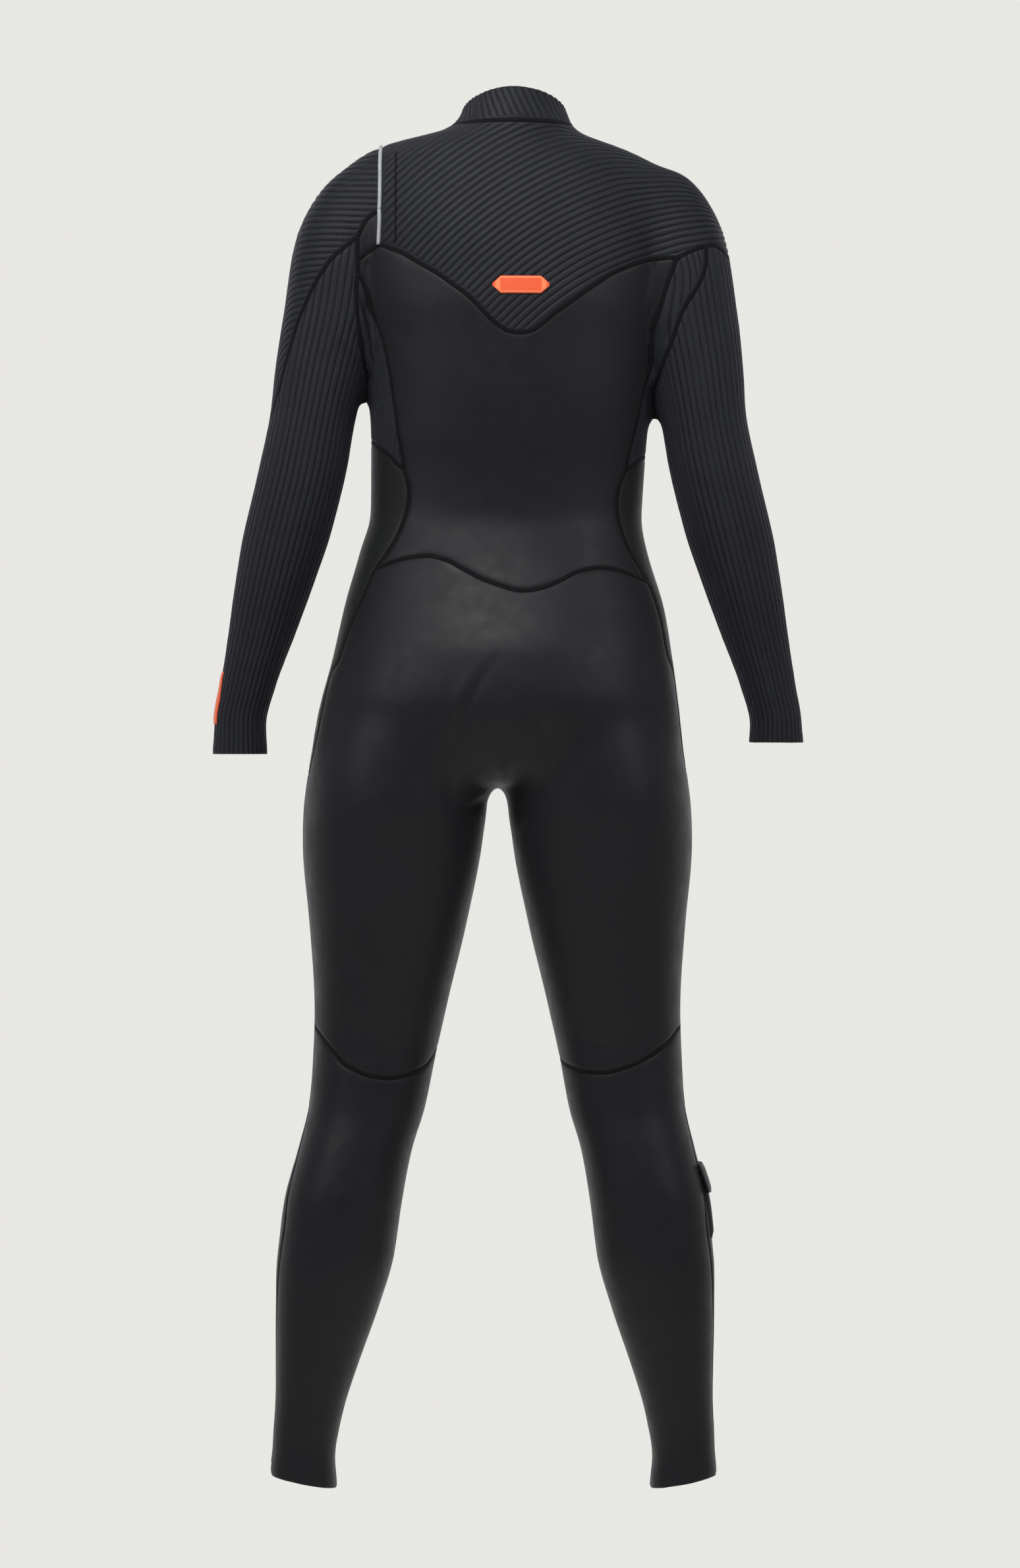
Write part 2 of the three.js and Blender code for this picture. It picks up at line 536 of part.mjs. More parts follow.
const EDGE_WIDTH = 3;
const EDGE_WALL = 1.6;
const bodyAt = (out) => loft(TRUNK, SIDES.trunk, -out, false, true)
  .add(loft(LIMBS.leftArm, SIDES.leftArm, -out, true, false));
const edgePath = (points, y0, y1) => throughY(bandOutline(smooth(scaled(points)), EDGE_WIDTH), y0, y1);
const edgeBands = edgePath([[OVERLAY_X, 1340], [OVERLAY_X, 1214]], -1, FAR)
  .add(edgePath(OVERLAY_FRONT_LEFT.slice(3), -FAR, 1));
add("overlay_edge_binding", "edge",
  bodyAt(CLEARANCE + EDGE_WALL).subtract(bodyAt(CLEARANCE)).intersect(edgeBands));

// A flat outline with rounded ends or corners.
function roundedBox(a, z, wide, high, radius) {
  const shape = new THREE.Shape();
  const [x0, x1, z0, z1] = [a - wide / 2, a + wide / 2, z - high / 2, z + high / 2];
  shape.moveTo(x0 + radius, z0);
  shape.lineTo(x1 - radius, z0);
  shape.absarc(x1 - radius, z0 + radius, radius, -Math.PI / 2, 0);
  shape.absarc(x1 - radius, z1 - radius, radius, 0, Math.PI / 2);
  shape.absarc(x0 + radius, z1 - radius, radius, Math.PI / 2, Math.PI);
  shape.absarc(x0 + radius, z0 + radius, radius, Math.PI, Math.PI * 1.5);
  return shape.getPoints(3);
}
const BADGE_AT = [-10 * GIRTH, 1169 * K];
const WRIST_TAB = { y: -22, z: 771, wide: 24 };
add("back_badge", "patch", layer(TRUNK, SIDES.trunk, CLEARANCE, CLEARANCE + PATCH_WALL).intersect(
  throughY(roundedBox(...BADGE_AT, BADGE_WIDTH, BADGE_HEIGHT, 7), 0, FAR)));
add("wrist_tab", "patch",
  layer(LIMBS.leftArm, SIDES.leftArm, CLEARANCE, CLEARANCE + PATCH_WALL).intersect(
    throughX(roundedBox(WRIST_TAB.y * GIRTH, WRIST_TAB.z * K, WRIST_TAB.wide, WRIST_TAB_LENGTH, 5),
      armX("left", WRIST_TAB.z) * GIRTH, FAR)));

// ---------------------------------------------------------------- key pocket, outside the right calf
const POCKET = { y: 5 * GIRTH, low: 240 * K, high: 300 * K, wide: 40 };
const FLAP = { wide: 46, low: 284 * K, high: 312 * K, wall: 1.8 };
const calfX = legX("right", 280) * GIRTH;
const onCalf = (low, high, wide, z0, z1) =>
  layer(LIMBS.rightLeg, SIDES.rightLeg, low, high).intersect(
    throughX(roundedBox(POCKET.y, (z0 + z1) / 2, wide, z1 - z0, 4), -FAR, calfX));
const flapUnder = 2 * CLEARANCE + POCKET_WALL;
add("key_pocket", "smooth", onCalf(CLEARANCE, CLEARANCE + POCKET_WALL, POCKET.wide, POCKET.low, POCKET.high));
add("key_pocket_flap", "smooth", onCalf(flapUnder, flapUnder + FLAP.wall, FLAP.wide, FLAP.low, FLAP.high));

// ---------------------------------------------------------------- chest zip
const endGap = CLEARANCE / ZIP_RADIUS;
const tapeEdge = slotHalf - CLEARANCE;
const chainHalf = ZIP_CHAIN / 2;
const tapeTop = -1;
const TOOTH = { wide: 2.2, reach: 0.8, root: 1.8, rise: 1.6, cordTop: 1, cordStart: 0.9 };
const toothStep = ZIP_TOOTH_PITCH / ZIP_RADIUS;
const STOP_LENGTH = 3;
const chainHalfAngle = ZIP_HALF_ANGLE - (STOP_LENGTH + 3 * CLEARANCE) / ZIP_RADIUS;
const teethPerSide = Math.floor((2 * chainHalfAngle) / toothStep) - 1;
for (const [name, side] of [["upper", 1], ["lower", -1]]) {
  const flip = (profile) => (side > 0 ? profile : profile.map(([out, up]) => [out, -up]).reverse());
  add(`zip_tape_${name}`, "tape", sweepZip(
    flip(band(tapeTop - ZIP_TAPE_WALL, tapeTop, chainHalf + CLEARANCE, tapeEdge)),
    -ZIP_HALF_ANGLE + endGap, ZIP_HALF_ANGLE - endGap, 12));
  let chain = sweepZip(
    flip(band(tapeTop - ZIP_TAPE_WALL, TOOTH.cordTop, TOOTH.cordStart + CLEARANCE, chainHalf)),
    -chainHalfAngle, chainHalfAngle, 12);
  for (let i = 0; i < teethPerSide; i++) {
    const middle = -chainHalfAngle + toothStep * (i + (side > 0 ? 0.75 : 1.25));
    const half = TOOTH.wide / 2 / ZIP_RADIUS;
    chain = chain.add(sweepZip(flip(band(tapeTop - 0.6, TOOTH.rise, -TOOTH.reach, TOOTH.root)),
      middle - half, middle + half, 1));
  }
  add(`zip_teeth_${name}`, "plastic", chain);
}
for (const [name, side] of [["left", 1], ["right", -1]]) {
  const [near, far] = [chainHalfAngle + endGap, chainHalfAngle + endGap + STOP_LENGTH / ZIP_RADIUS];
  add(`zip_stop_${name}`, "plastic", sweepZip(
    band(tapeTop - ZIP_TAPE_WALL, TOOTH.rise, -chainHalf, chainHalf),
    side > 0 ? near : -far, side > 0 ? far : -near, 1));
}

// The slider stands at the closed end, on the wearer's right, and the pull hangs from its ears.
const SLIDER = { long: 11, wide: 10, low: TOOTH.rise + CLEARANCE, wall: 2 };
const EAR = { wall: 1.4, high: 4.2, deep: 3.4, at: 3.4, sunk: 0.4 };
const PULL = { wide: 8, long: 34, wall: 1.6, barrel: 1.2, neck: 3.6, neckLong: 6, drop: 1.4 };
const sliderTurn = -(chainHalfAngle - SLIDER.long / 2 / ZIP_RADIUS - endGap);
const hingeOut = SLIDER.low + SLIDER.wall + 2.2;
const sliderFrame = new THREE.Matrix4()
  .makeTranslation(0, ZIP_AXIS_Y, zipZ)
  .multiply(new THREE.Matrix4().makeRotationZ(sliderTurn))
  .multiply(new THREE.Matrix4().makeTranslation(0, -ZIP_RADIUS, 0))
  .multiply(new THREE.Matrix4().makeRotationX(-Math.atan(CHEST_SLOPE)));
// In the slider's own frame, x runs along the zip, -y stands out of the chest and z runs up it.
const box = (wide, deep, high, x, y, z) => new THREE.BoxGeometry(wide, deep, high).translate(x, y, z);
const plateY = -(SLIDER.low + SLIDER.wall / 2);
let slider = solid(box(SLIDER.long, SLIDER.wall, SLIDER.wide, 0, plateY, 0));
for (const side of [-1, 1])
  slider = slider.add(solid(box(EAR.wall, EAR.high, EAR.deep, side * EAR.at,
    -(SLIDER.low + SLIDER.wall - EAR.sunk + EAR.high / 2), 0)));
const inFrame = (piece) => solid(geometryOf(piece).applyMatrix4(sliderFrame));
add("zip_slider", "plastic", inFrame(slider));
const barrelLong = 2 * (EAR.at - EAR.wall / 2 - CLEARANCE);
const barrel = new THREE.CylinderGeometry(PULL.barrel, PULL.barrel, barrelLong, 10);
barrel.rotateZ(Math.PI / 2).translate(0, -hingeOut, 0);
const tab = roundedBox(0, -PULL.long / 2 - PULL.drop, PULL.wide, PULL.long, 3);
const neck = box(PULL.neck, PULL.wall, PULL.neckLong, 0, -hingeOut, -PULL.neckLong / 2);
// The pull's wide part starts below the ears, so that it swings clear of them.
const besideEars = box(2 * SLIDER.long, 2 * EAR.high, 2 * EAR.deep, 0, -hingeOut, 0.7);
const plate = throughY(tab, -hingeOut - PULL.wall / 2, -hingeOut + PULL.wall / 2)
  .subtract(solid(besideEars));
add("zip_pull", "plastic", inFrame(solid(barrel).add(solid(neck)).add(plate)));

const wetsuit = new THREE.Group();
suit.position.z = -NECK_HEIGHT * K;
wetsuit.add(suit);
export default wetsuit;
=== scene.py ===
# %% [markdown]
# # A full wetsuit
# A women's chest-zip wetsuit, filled out as it is when worn and seen from behind. The sewn panels are
# made from one smooth body that is cut along its seams, so neighbours share an edge as they do when they
# are glued and stitched. Small fittings such as the zip come straight from the CAD frame.

# %% Open an empty scene and load the frame
import json
import math

import bpy
import numpy as np
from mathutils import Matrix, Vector
from mathutils.bvhtree import BVHTree
from mathutils.kdtree import KDTree

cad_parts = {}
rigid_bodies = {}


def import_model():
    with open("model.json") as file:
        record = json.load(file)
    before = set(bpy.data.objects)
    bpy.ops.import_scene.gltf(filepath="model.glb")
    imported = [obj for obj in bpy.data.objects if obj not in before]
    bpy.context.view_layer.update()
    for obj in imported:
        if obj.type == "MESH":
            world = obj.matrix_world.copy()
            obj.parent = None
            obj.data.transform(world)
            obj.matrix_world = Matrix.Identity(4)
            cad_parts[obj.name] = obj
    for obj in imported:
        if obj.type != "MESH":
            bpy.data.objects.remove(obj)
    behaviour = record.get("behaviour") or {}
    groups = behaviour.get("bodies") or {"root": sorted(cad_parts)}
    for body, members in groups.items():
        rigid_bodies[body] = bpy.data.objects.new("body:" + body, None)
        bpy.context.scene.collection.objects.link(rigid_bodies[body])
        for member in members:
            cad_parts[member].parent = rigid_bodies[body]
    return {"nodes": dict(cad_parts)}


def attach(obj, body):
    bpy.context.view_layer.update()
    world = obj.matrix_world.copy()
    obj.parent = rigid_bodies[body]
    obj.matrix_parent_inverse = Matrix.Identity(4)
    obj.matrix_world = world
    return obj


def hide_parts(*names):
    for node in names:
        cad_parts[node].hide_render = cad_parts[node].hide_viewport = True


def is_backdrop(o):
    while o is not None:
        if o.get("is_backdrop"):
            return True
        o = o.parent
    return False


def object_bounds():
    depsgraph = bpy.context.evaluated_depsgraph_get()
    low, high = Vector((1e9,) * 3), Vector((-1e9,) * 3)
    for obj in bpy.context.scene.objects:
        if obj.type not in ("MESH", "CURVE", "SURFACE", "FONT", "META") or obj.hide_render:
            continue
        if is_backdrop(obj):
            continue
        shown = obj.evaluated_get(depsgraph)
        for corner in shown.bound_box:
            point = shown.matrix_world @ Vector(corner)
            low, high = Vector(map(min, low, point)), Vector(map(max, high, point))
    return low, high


for old in list(bpy.data.objects):
    bpy.data.objects.remove(old)
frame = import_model()
cad_low, cad_high = (Vector(p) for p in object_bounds())
# The levels below are drawn for a suit of this height, whose flared hems dip below the ankle line.
DRAWN_HEIGHT, HEM_DIP = 1.3731, 0.0061
K = (cad_high.z - cad_low.z) / DRAWN_HEIGHT
HEM_Z = cad_low.z + HEM_DIP * K
MM = 0.001
print("frame", tuple(cad_low), tuple(cad_high))

# %% [markdown]
# ## The body under the cloth
# Stretch cloth takes the shape of the wearer, so the shape to model first is the body. Each limb is a
# stack of rounded outlines. Joining the limbs by hand would leave creases at the armpits and the crotch,
# so they are only pushed into each other, and a voxel remesh melts them into one skin.

# %% Levels of the trunk, arms and legs, in millimetres from the ankle hems
# A level is its height, middle, half width, front and back, then how square it is and how much it tilts.
USUAL = (2.15, 0.0)
TRUNK = [
    (692, 13, 125, -62, 70),
    (706, 13, 171, -94, 107),
    (731, 12.7, 183, -103, 118),
    (765, 11, 176.5, -108, 127),
    (809, 8, 167.5, -108, 122),
    (861, 6.5, 157.5, -104, 102),
    (913, 7, 142.5, -98, 84),
    (952, 4.5, 134, -93, 76),
    (991, 3, 135, -95, 79),
    (1030, 1.5, 136.5, -106, 88),
    (1069, 0, 141, -122, 95),
    (1120, 0, 149, -133, 101),
    (1160, 0, 155, -124, 105),
    (1200, 0, 161, -106, 103),
    (1240, 1, 165, -88, 97),
    (1265, 3, 163, -76, 90, 2.1),
    (1290, 5, 158, -62, 80, 2),
    (1303, 10, 140, -53, 74, 2),
    (1316, 11, 108, -47, 68, 2),
    (1329, 1, 66, -46, 63, 2),
    (1342, -3.5, 54, -47, 61, 2),
    (1380, -3.5, 45, -44, 57, 2),
    (1400, -3.5, 43, -43, 56, 2),
]
LEFT_HEM, RIGHT_HEM = 716, 727
PAST_HEM = 16


def arm_levels(side, hem, lean):
    rows = [
        (hem - PAST_HEM, 266 + lean, 27.5, -50, 2),
        (hem, 266 + lean, 27.5, -50, 2),
        (744, 266 + lean, 26, -50, 3),
        (783, 258 + lean, 27.8, -51, 8),
        (835, 244 + lean, 33.5, -51, 19),
        (887, 230.5 + lean, 39.4, -49, 32),
        (939, 217 + lean, 43.5, -46, 41),
        (991, 204 + lean, 43.8, -43, 47),
        (1043, 193.7 + lean, 42.6, -42, 50),
        (1095, 184 + lean / 2, 47, -43, 54),
        (1147, 173, 51, -44, 58),
        (1199, 165, 51.5, -44, 61),
        (1238, 158, 49.5, -40, 60),
        (1264, 151, 45, -34, 57),
        (1280, 145, 38, -26, 52),
        (1291, 138, 26, -14, 42),
    ]
    return [(z, side * x, half, front, back) for z, x, half, front, back in rows]


PELVIS_X = 13
LEG_LEVELS = [
    (-PAST_HEM, 187, 30.5, -30, 38, 0.2),
    (0, 187, 33.5, -32, 40, 0.2),
    (29, 187, 31, -31, 40, 0.2),
    (68, 182.5, 33.5, -33, 44, 0.1),
    (120, 174, 41.8, -37, 53, 0),
    (172, 165, 50.9, -42, 62, 0),
    (224, 157, 57.6, -48, 69, 0),
    (276, 150.5, 58.2, -53, 70, 0),
    (328, 139, 56.3, -60, 63, 0),
    (367, 128.5, 57.6, -66, 56, 0),
    (419, 121.5, 60.8, -74, 55, 0),
    (471, 115, 66, -79, 64, 0),
    (549, 108, 77.7, -86, 80, 0),
    (627, 103.5, 88.5, -92, 97, 0),
    (679, 99.5, 91, -98, 109, 0),
    (720, 97.5, 88, -98, 111, 0),
    (770, 88, 62, -60, 70, 0),
]
KNEE_Z = 419


def leg_levels(side, lean):
    rows = []
    for z, out, half, front, back, tilt in LEG_LEVELS:
        shin = max(0, 1 - max(z, 0) / KNEE_Z) * lean
        rows.append((z, PELVIS_X + side * (out + shin), half, front, back, 2.1, side * tilt))
    return rows


LIMBS = {
    "trunk": TRUNK,
    "left_arm": arm_levels(1, LEFT_HEM, 2),
    "right_arm": arm_levels(-1, RIGHT_HEM, -3),
    "left_leg": leg_levels(1, 4),
    "right_leg": leg_levels(-1, -4),
}
LIMBS = {name: np.array([row + USUAL[len(row) - 5:] for row in rows], float) for name, rows in LIMBS.items()}
print({name: len(rows) for name, rows in LIMBS.items()}, "levels")


# %% Smooth in-between levels
def between(rows, z):
    """Values at heights z, by a cubic through the rows that never overshoots them."""
    x, y = rows[:, 0], rows
    h = np.diff(x)[:, None]
    slope = np.diff(y, axis=0) / h
    m = np.zeros_like(y)
    m[0], m[-1] = slope[0], slope[-1]
    same = slope[:-1] * slope[1:] > 0
    w1, w2 = 2 * h[1:] + h[:-1], h[1:] + 2 * h[:-1]
    with np.errstate(divide="ignore", invalid="ignore"):
        mean = (w1 + w2) / (w1 / slope[:-1] + w2 / slope[1:])
    m[1:-1] = np.where(same, mean, 0)
    i = np.clip(np.searchsorted(x, z, side="right") - 1, 0, len(x) - 2)
    t = ((z - x[i]) / (x[i + 1] - x[i]))[:, None]
    hi = h[i]
    return (
        (2 * t**3 - 3 * t**2 + 1) * y[i]
        + (t**3 - 2 * t**2 + t) * hi * m[i]
        + (3 * t**2 - 2 * t**3) * y[i + 1]
        + (t**3 - t**2) * hi * m[i + 1]
    )


def rings(name, heights, sides, out=0.0):
    """Outlines of a limb at those heights, grown outwards, as an array of level, side, xyz in metres."""
    rows = between(LIMBS[name], np.asarray(heights, float))
    t = np.arange(sides) / sides * 2 * math.pi
    made = []
    for z, x, half, front, back, square, tilt in rows:
        across = np.sign(np.cos(t)) * np.abs(np.cos(t)) ** (2 / square) * (half + out)
        deep = np.sign(np.sin(t)) * np.abs(np.sin(t)) ** (2 / square) * ((back - front) / 2 + out)
        made.append(np.stack([x + across, (front + back) / 2 + deep, z * K + tilt * across], 1))
    return np.array(made) * MM + np.array([0, 0, HEM_Z])


def ring_quads(levels, sides):
    """The four-sided faces between each ring of points and the next."""
    quads = []
    for start in range(0, (levels - 1) * sides, sides):
        for i in range(sides):
            j = (i + 1) % sides
            quads.append((start + i, start + j, start + sides + j, start + sides + i))
    return quads


def loft_faces(levels, sides):
    faces = ring_quads(levels, sides)
    faces.append(tuple(range(sides))[::-1])
    faces.append(tuple(range((levels - 1) * sides, levels * sides)))
    return faces


STEP = 6.0
VOXEL = 5.0 * MM
verts, faces = [], []
for name, rows in LIMBS.items():
    heights = np.arange(rows[0, 0], rows[-1, 0], STEP).tolist() + [rows[-1, 0]]
    sides = 128 if name == "trunk" else 72
    points = rings(name, heights, sides).reshape(-1, 3)
    faces += [tuple(i + len(verts) for i in face) for face in loft_faces(len(heights), sides)]
    verts += points.tolist()
body_mesh = bpy.data.meshes.new("body")
body_mesh.from_pydata(verts, [], faces)
body = bpy.data.objects.new("body", body_mesh)
bpy.context.collection.objects.link(body)
remesh = body.modifiers.new("melt", "REMESH")
remesh.mode = "VOXEL"
remesh.voxel_size = VOXEL
soften = body.modifiers.new("soften", "SMOOTH")
soften.factor = 0.5
soften.iterations = 5
evaluated = body.evaluated_get(bpy.context.evaluated_depsgraph_get()).to_mesh()
evaluated.calc_loop_triangles()
skin_v = np.zeros(len(evaluated.vertices) * 3)
evaluated.vertices.foreach_get("co", skin_v)
skin_v = skin_v.reshape(-1, 3)
skin_f = np.zeros(len(evaluated.loop_triangles) * 3, int)
evaluated.loop_triangles.foreach_get("vertices", skin_f)
skin_f = skin_f.reshape(-1, 3)
bpy.data.objects.remove(body)


def neighbour_mean(v, edges, count):
    total = np.zeros_like(v)
    np.add.at(total, edges[:, 0], v[edges[:, 1]])
    np.add.at(total, edges[:, 1], v[edges[:, 0]])
    return total / np.maximum(count, 1)[:, None]


def sides_of(f):
    """The sides of the triangles as pairs of points: every first side, then the second, then the third."""
    return np.concatenate([f[:, [0, 1]], f[:, [1, 2]], f[:, [2, 0]]])


def edges_of(f):
    return np.unique(np.sort(sides_of(f), axis=1), axis=0)


# The legs melt into the seat over a hand's width, and the arms into the shoulders, so both are relaxed.
CROTCH_Z, CROTCH_REACH = 712, 34
SHOULDER_Z, SHOULDER_REACH = 1265, 30
HIP_REACH = 0.22
RELAX_STEPS = 60
skin_edges = edges_of(skin_f)
skin_count = np.bincount(skin_edges.ravel(), minlength=len(skin_v))
skin_height = (skin_v[:, 2] - HEM_Z) / MM / K
seat = np.exp(-(((skin_height - CROTCH_Z) / CROTCH_REACH) ** 2))
seat *= np.abs(skin_v[:, 0] - PELVIS_X * MM) < HIP_REACH
shoulder = 0.6 * np.exp(-(((skin_height - SHOULDER_Z) / SHOULDER_REACH) ** 2))
share = np.clip(seat + shoulder, 0, 1)[:, None] * 0.8
for _ in range(RELAX_STEPS):
    skin_v = skin_v * (1 - share) + neighbour_mean(skin_v, skin_edges, skin_count) * share
skin_tree = BVHTree.FromPolygons(skin_v.tolist(), skin_f.tolist())
print("body skin", len(skin_v), "points")

# %% [markdown]
# ## Cutting the skin into panels
# A pattern cutter draws the seams on the body. Here the CAD panels already say which stretch of skin
# belongs to which panel, so every point asks for its nearest panel. Where two neighbours disagree, the
# edge between them is halved again and again until the seam is found, and the triangle is split there.

# %% Ask the frame which panel a point belongs to
PANELS = [
    "collar", "back_yoke", "chest_overlay", "left_shoulder_gusset", "left_sleeve_front",
    "left_sleeve_back", "right_sleeve_front", "right_sleeve_back", "left_underarm_panel",
    "right_underarm_panel", "back_panel", "front_panel", "left_side_panel", "right_side_panel",
    "seat_panel", "lower_front_panel", "left_knee_pad", "right_knee_pad", "left_calf_panel",
    "right_calf_panel", "left_shin_panel", "right_shin_panel",
]
owner, cad_v, cad_f = [], [], []
for index, name in enumerate(PANELS):
    mesh = frame["nodes"][name].data
    start = len(cad_v)
    cad_v += [v.co.copy() for v in mesh.vertices]
    for polygon in mesh.polygons:
        cad_f.append([start + i for i in polygon.vertices])
        owner.append(index + 1)
cad_tree = BVHTree.FromPolygons(cad_v, cad_f)
ZIP_Z, ZIP_HALF_LENGTH, ZIP_HALF_SLOT = 1206, 93, 11.5
LEFT_CUFF_X, RIGHT_CUFF_X = 236, -232
ANKLE_TILT, LOWER_LEG_Z = 0.2, 200
# The collar's rim rises from the throat to the nape: depth and height.
COLLAR_RIM = np.array([[-160, 1330], [-44, 1338], [8, 1349], [40, 1360], [58, 1367], [160, 1384]])


def panel_at(points):
    """The panel number of each point, 0 past a hem or in the zip's slot."""
    found = np.array([owner[cad_tree.find_nearest(p)[2]] for p in points.tolist()])
    x, y = points[:, 0] / MM, points[:, 1] / MM
    z = (points[:, 2] - HEM_Z) / MM / K
    rim = np.interp(y, COLLAR_RIM[:, 0], COLLAR_RIM[:, 1])
    leg_middle = np.where(x > PELVIS_X, LIMBS["left_leg"][1, 1], LIMBS["right_leg"][1, 1])
    ankle = np.sign(x - PELVIS_X) * ANKLE_TILT * (x - leg_middle)
    found[z > rim] = 0
    found[(z < LEFT_HEM) & (x > LEFT_CUFF_X)] = 0
    found[(z < RIGHT_HEM) & (x < RIGHT_CUFF_X)] = 0
    found[(z < ankle) & (z < LOWER_LEG_Z)] = 0
    slot = (np.abs(x) < ZIP_HALF_LENGTH) & (np.abs(z - ZIP_Z) < ZIP_HALF_SLOT) & (y < 0)
    found[slot] = 0
    return found


# %% Split every triangle that a seam crosses
HALVINGS = 7


def split_at_seams(v, f, label):
    edges = np.sort(sides_of(f), axis=1)
    unique, inverse = np.unique(edges, axis=0, return_inverse=True)
    inverse = inverse.reshape(3, -1).T
    crossed = np.flatnonzero(label[unique[:, 0]] != label[unique[:, 1]])
    a, b = v[unique[crossed, 0]], v[unique[crossed, 1]]
    low, high = np.zeros(len(crossed)), np.ones(len(crossed))
    for _ in range(HALVINGS):
        middle = (low + high) / 2
        same = panel_at(a + (b - a) * middle[:, None]) == label[unique[crossed, 0]]
        low, high = np.where(same, middle, low), np.where(same, high, middle)
    share = np.clip((low + high) / 2, 0.15, 0.85)  # away from the corners, which would give slivers
    on_edge = np.full(len(unique), -1)
    on_edge[crossed] = len(v) + np.arange(len(crossed))
    points = np.concatenate([v, a + (b - a) * share[:, None]]).tolist()
    corner = label[f]
    whole = (corner[:, 0] == corner[:, 1]) & (corner[:, 1] == corner[:, 2])
    out_f, out_l = f[whole].tolist(), corner[whole, 0].tolist()
    for t in np.flatnonzero(~whole):
        p, l, m = f[t].tolist(), corner[t].tolist(), on_edge[inverse[t]].tolist()
        if len(set(l)) == 3:
            points.append(np.mean([points[i] for i in m], axis=0).tolist())
            c = len(points) - 1
            for k in range(3):
                out_f += [[p[k], m[k], c], [p[k], c, m[k - 1]]]
                out_l += [l[k], l[k]]
            continue
        k = next(i for i in range(3) if l[i] != l[(i + 1) % 3] and l[i] != l[i - 1])
        p, m = p[k:] + p[:k], m[k:] + m[:k]
        out_f += [[p[0], m[0], m[2]], [m[0], p[1], p[2]], [m[0], p[2], m[2]]]
        out_l += [l[k], l[k - 1], l[k - 1]]
    return np.array(points), np.array(out_f), np.array(out_l)


skin_v, skin_f, skin_l = split_at_seams(skin_v, skin_f, panel_at(skin_v))
print("split skin", len(skin_v), "points,", len(skin_f), "triangles")


# %% Give stray crumbs of a panel back to their neighbours
def tidy_labels(f, label, smallest=60):
    keys = {}
    beside = [[] for _ in range(len(f))]
    for t, (a, b, c) in enumerate(f.tolist()):
        for p, q in ((a, b), (b, c), (c, a)):
            key = (p, q) if p < q else (q, p)
            if key in keys:
                other = keys.pop(key)
                beside[t].append(other)
                beside[other].append(t)
            else:
                keys[key] = t
    label = label.tolist()
    seen = [False] * len(f)
    for start in range(len(f)):
        if seen[start]:
            continue
        patch, edge = [start], []
        seen[start] = True
        for t in patch:
            for other in beside[t]:
                if label[other] != label[start]:
                    edge.append(label[other])
                elif not seen[other]:
                    seen[other] = True
                    patch.append(other)
        if len(patch) < smallest and edge:
            taken = max(set(edge), key=edge.count)
            for t in patch:
                label[t] = taken
    return np.array(label)


skin_l = tidy_labels(skin_f, skin_l)


# %% Smooth the seams along their own run, then settle their neighbours
def vertex_normals(v, f):
    normal = np.cross(v[f[:, 1]] - v[f[:, 0]], v[f[:, 2]] - v[f[:, 0]])
    total = np.zeros_like(v)
    for k in range(3):
        np.add.at(total, f[:, k], normal)
    return total / np.maximum(np.linalg.norm(total, axis=1, keepdims=True), 1e-12)


def seam_edges(f, label):
    """Edges whose two triangles belong to different panels, with the two panel numbers."""
    ends = sides_of(f)
    face = np.tile(np.arange(len(f)), 3)
    key = np.sort(ends, axis=1)
    order = np.lexsort((key[:, 1], key[:, 0]))
    key, face = key[order], face[order]
    pair = np.flatnonzero((key[:-1] == key[1:]).all(axis=1))
    differs = label[face[pair]] != label[face[pair + 1]]
    return key[pair[differs]], np.stack([label[face[pair[differs]]], label[face[pair[differs] + 1]]], 1)


border, border_pair = seam_edges(skin_f, skin_l)
degree = np.bincount(border.ravel(), minlength=len(skin_v))
all_edges = edges_of(skin_f)
all_count = np.bincount(all_edges.ravel(), minlength=len(skin_v))
near = degree > 0
for _ in range(2):
    touched = near[all_edges].any(axis=1)
    near[all_edges[touched].ravel()] = True
loose = near & (degree == 0)
SETTLE_STEPS = 14
for _ in range(SETTLE_STEPS):
    along = degree == 2
    target = neighbour_mean(skin_v, border, degree)
    skin_v[along] = 0.5 * skin_v[along] + 0.5 * target[along]
    target = neighbour_mean(skin_v, all_edges, all_count)
    skin_v[loose] = 0.4 * skin_v[loose] + 0.6 * target[loose]
for i in np.flatnonzero(near):
    skin_v[i] = skin_tree.find_nearest(skin_v[i])[0]
skin_n = vertex_normals(skin_v, skin_f)
print("seam edges", len(border))

# %% [markdown]
# ## Ribs
# The yoke, collar and sleeves are faced with a ribbed knit. One number per point, counted in ribs, says
# where the point lies across the pattern: whole numbers are the grooves. The same number moves the mesh
# and darkens the grooves in the cloth's colour as painted shade, so shape and shade always agree.

# %% Count the ribs across each ribbed panel
RIB = 6.6
ARC_CENTRE = (-252, 880)
SHOULDER_TOP = 1275
SHOULDER_TURN, ARM_TOP = 1061, 1291
ARM_RADIUS = 43
NECK_X, NECK_Y, NECK_RADIUS = -3.5, 7, 52


def in_mm(points):
    x, y = points[:, 0] / MM, points[:, 1] / MM
    return x, y, (points[:, 2] - HEM_Z) / MM / K


def ease(value, low, high):
    t = np.clip((value - low) / (high - low), 0, 1)
    return t * t * (3 - 2 * t)


def arc_ribs(facing, depth, low):
    """Ribs on wide arcs, behind (1) or in front (-1), that roll on over the top of the shoulder."""

    def count(points):
        x, y, z = in_mm(points)
        turned = np.maximum(depth - facing * y, 0) * ease(z, low, SHOULDER_TOP)
        z = z + 0.8 * turned**2 / (turned + 20)
        return np.hypot(x - ARC_CENTRE[0], z - ARC_CENTRE[1]) / RIB

    return count


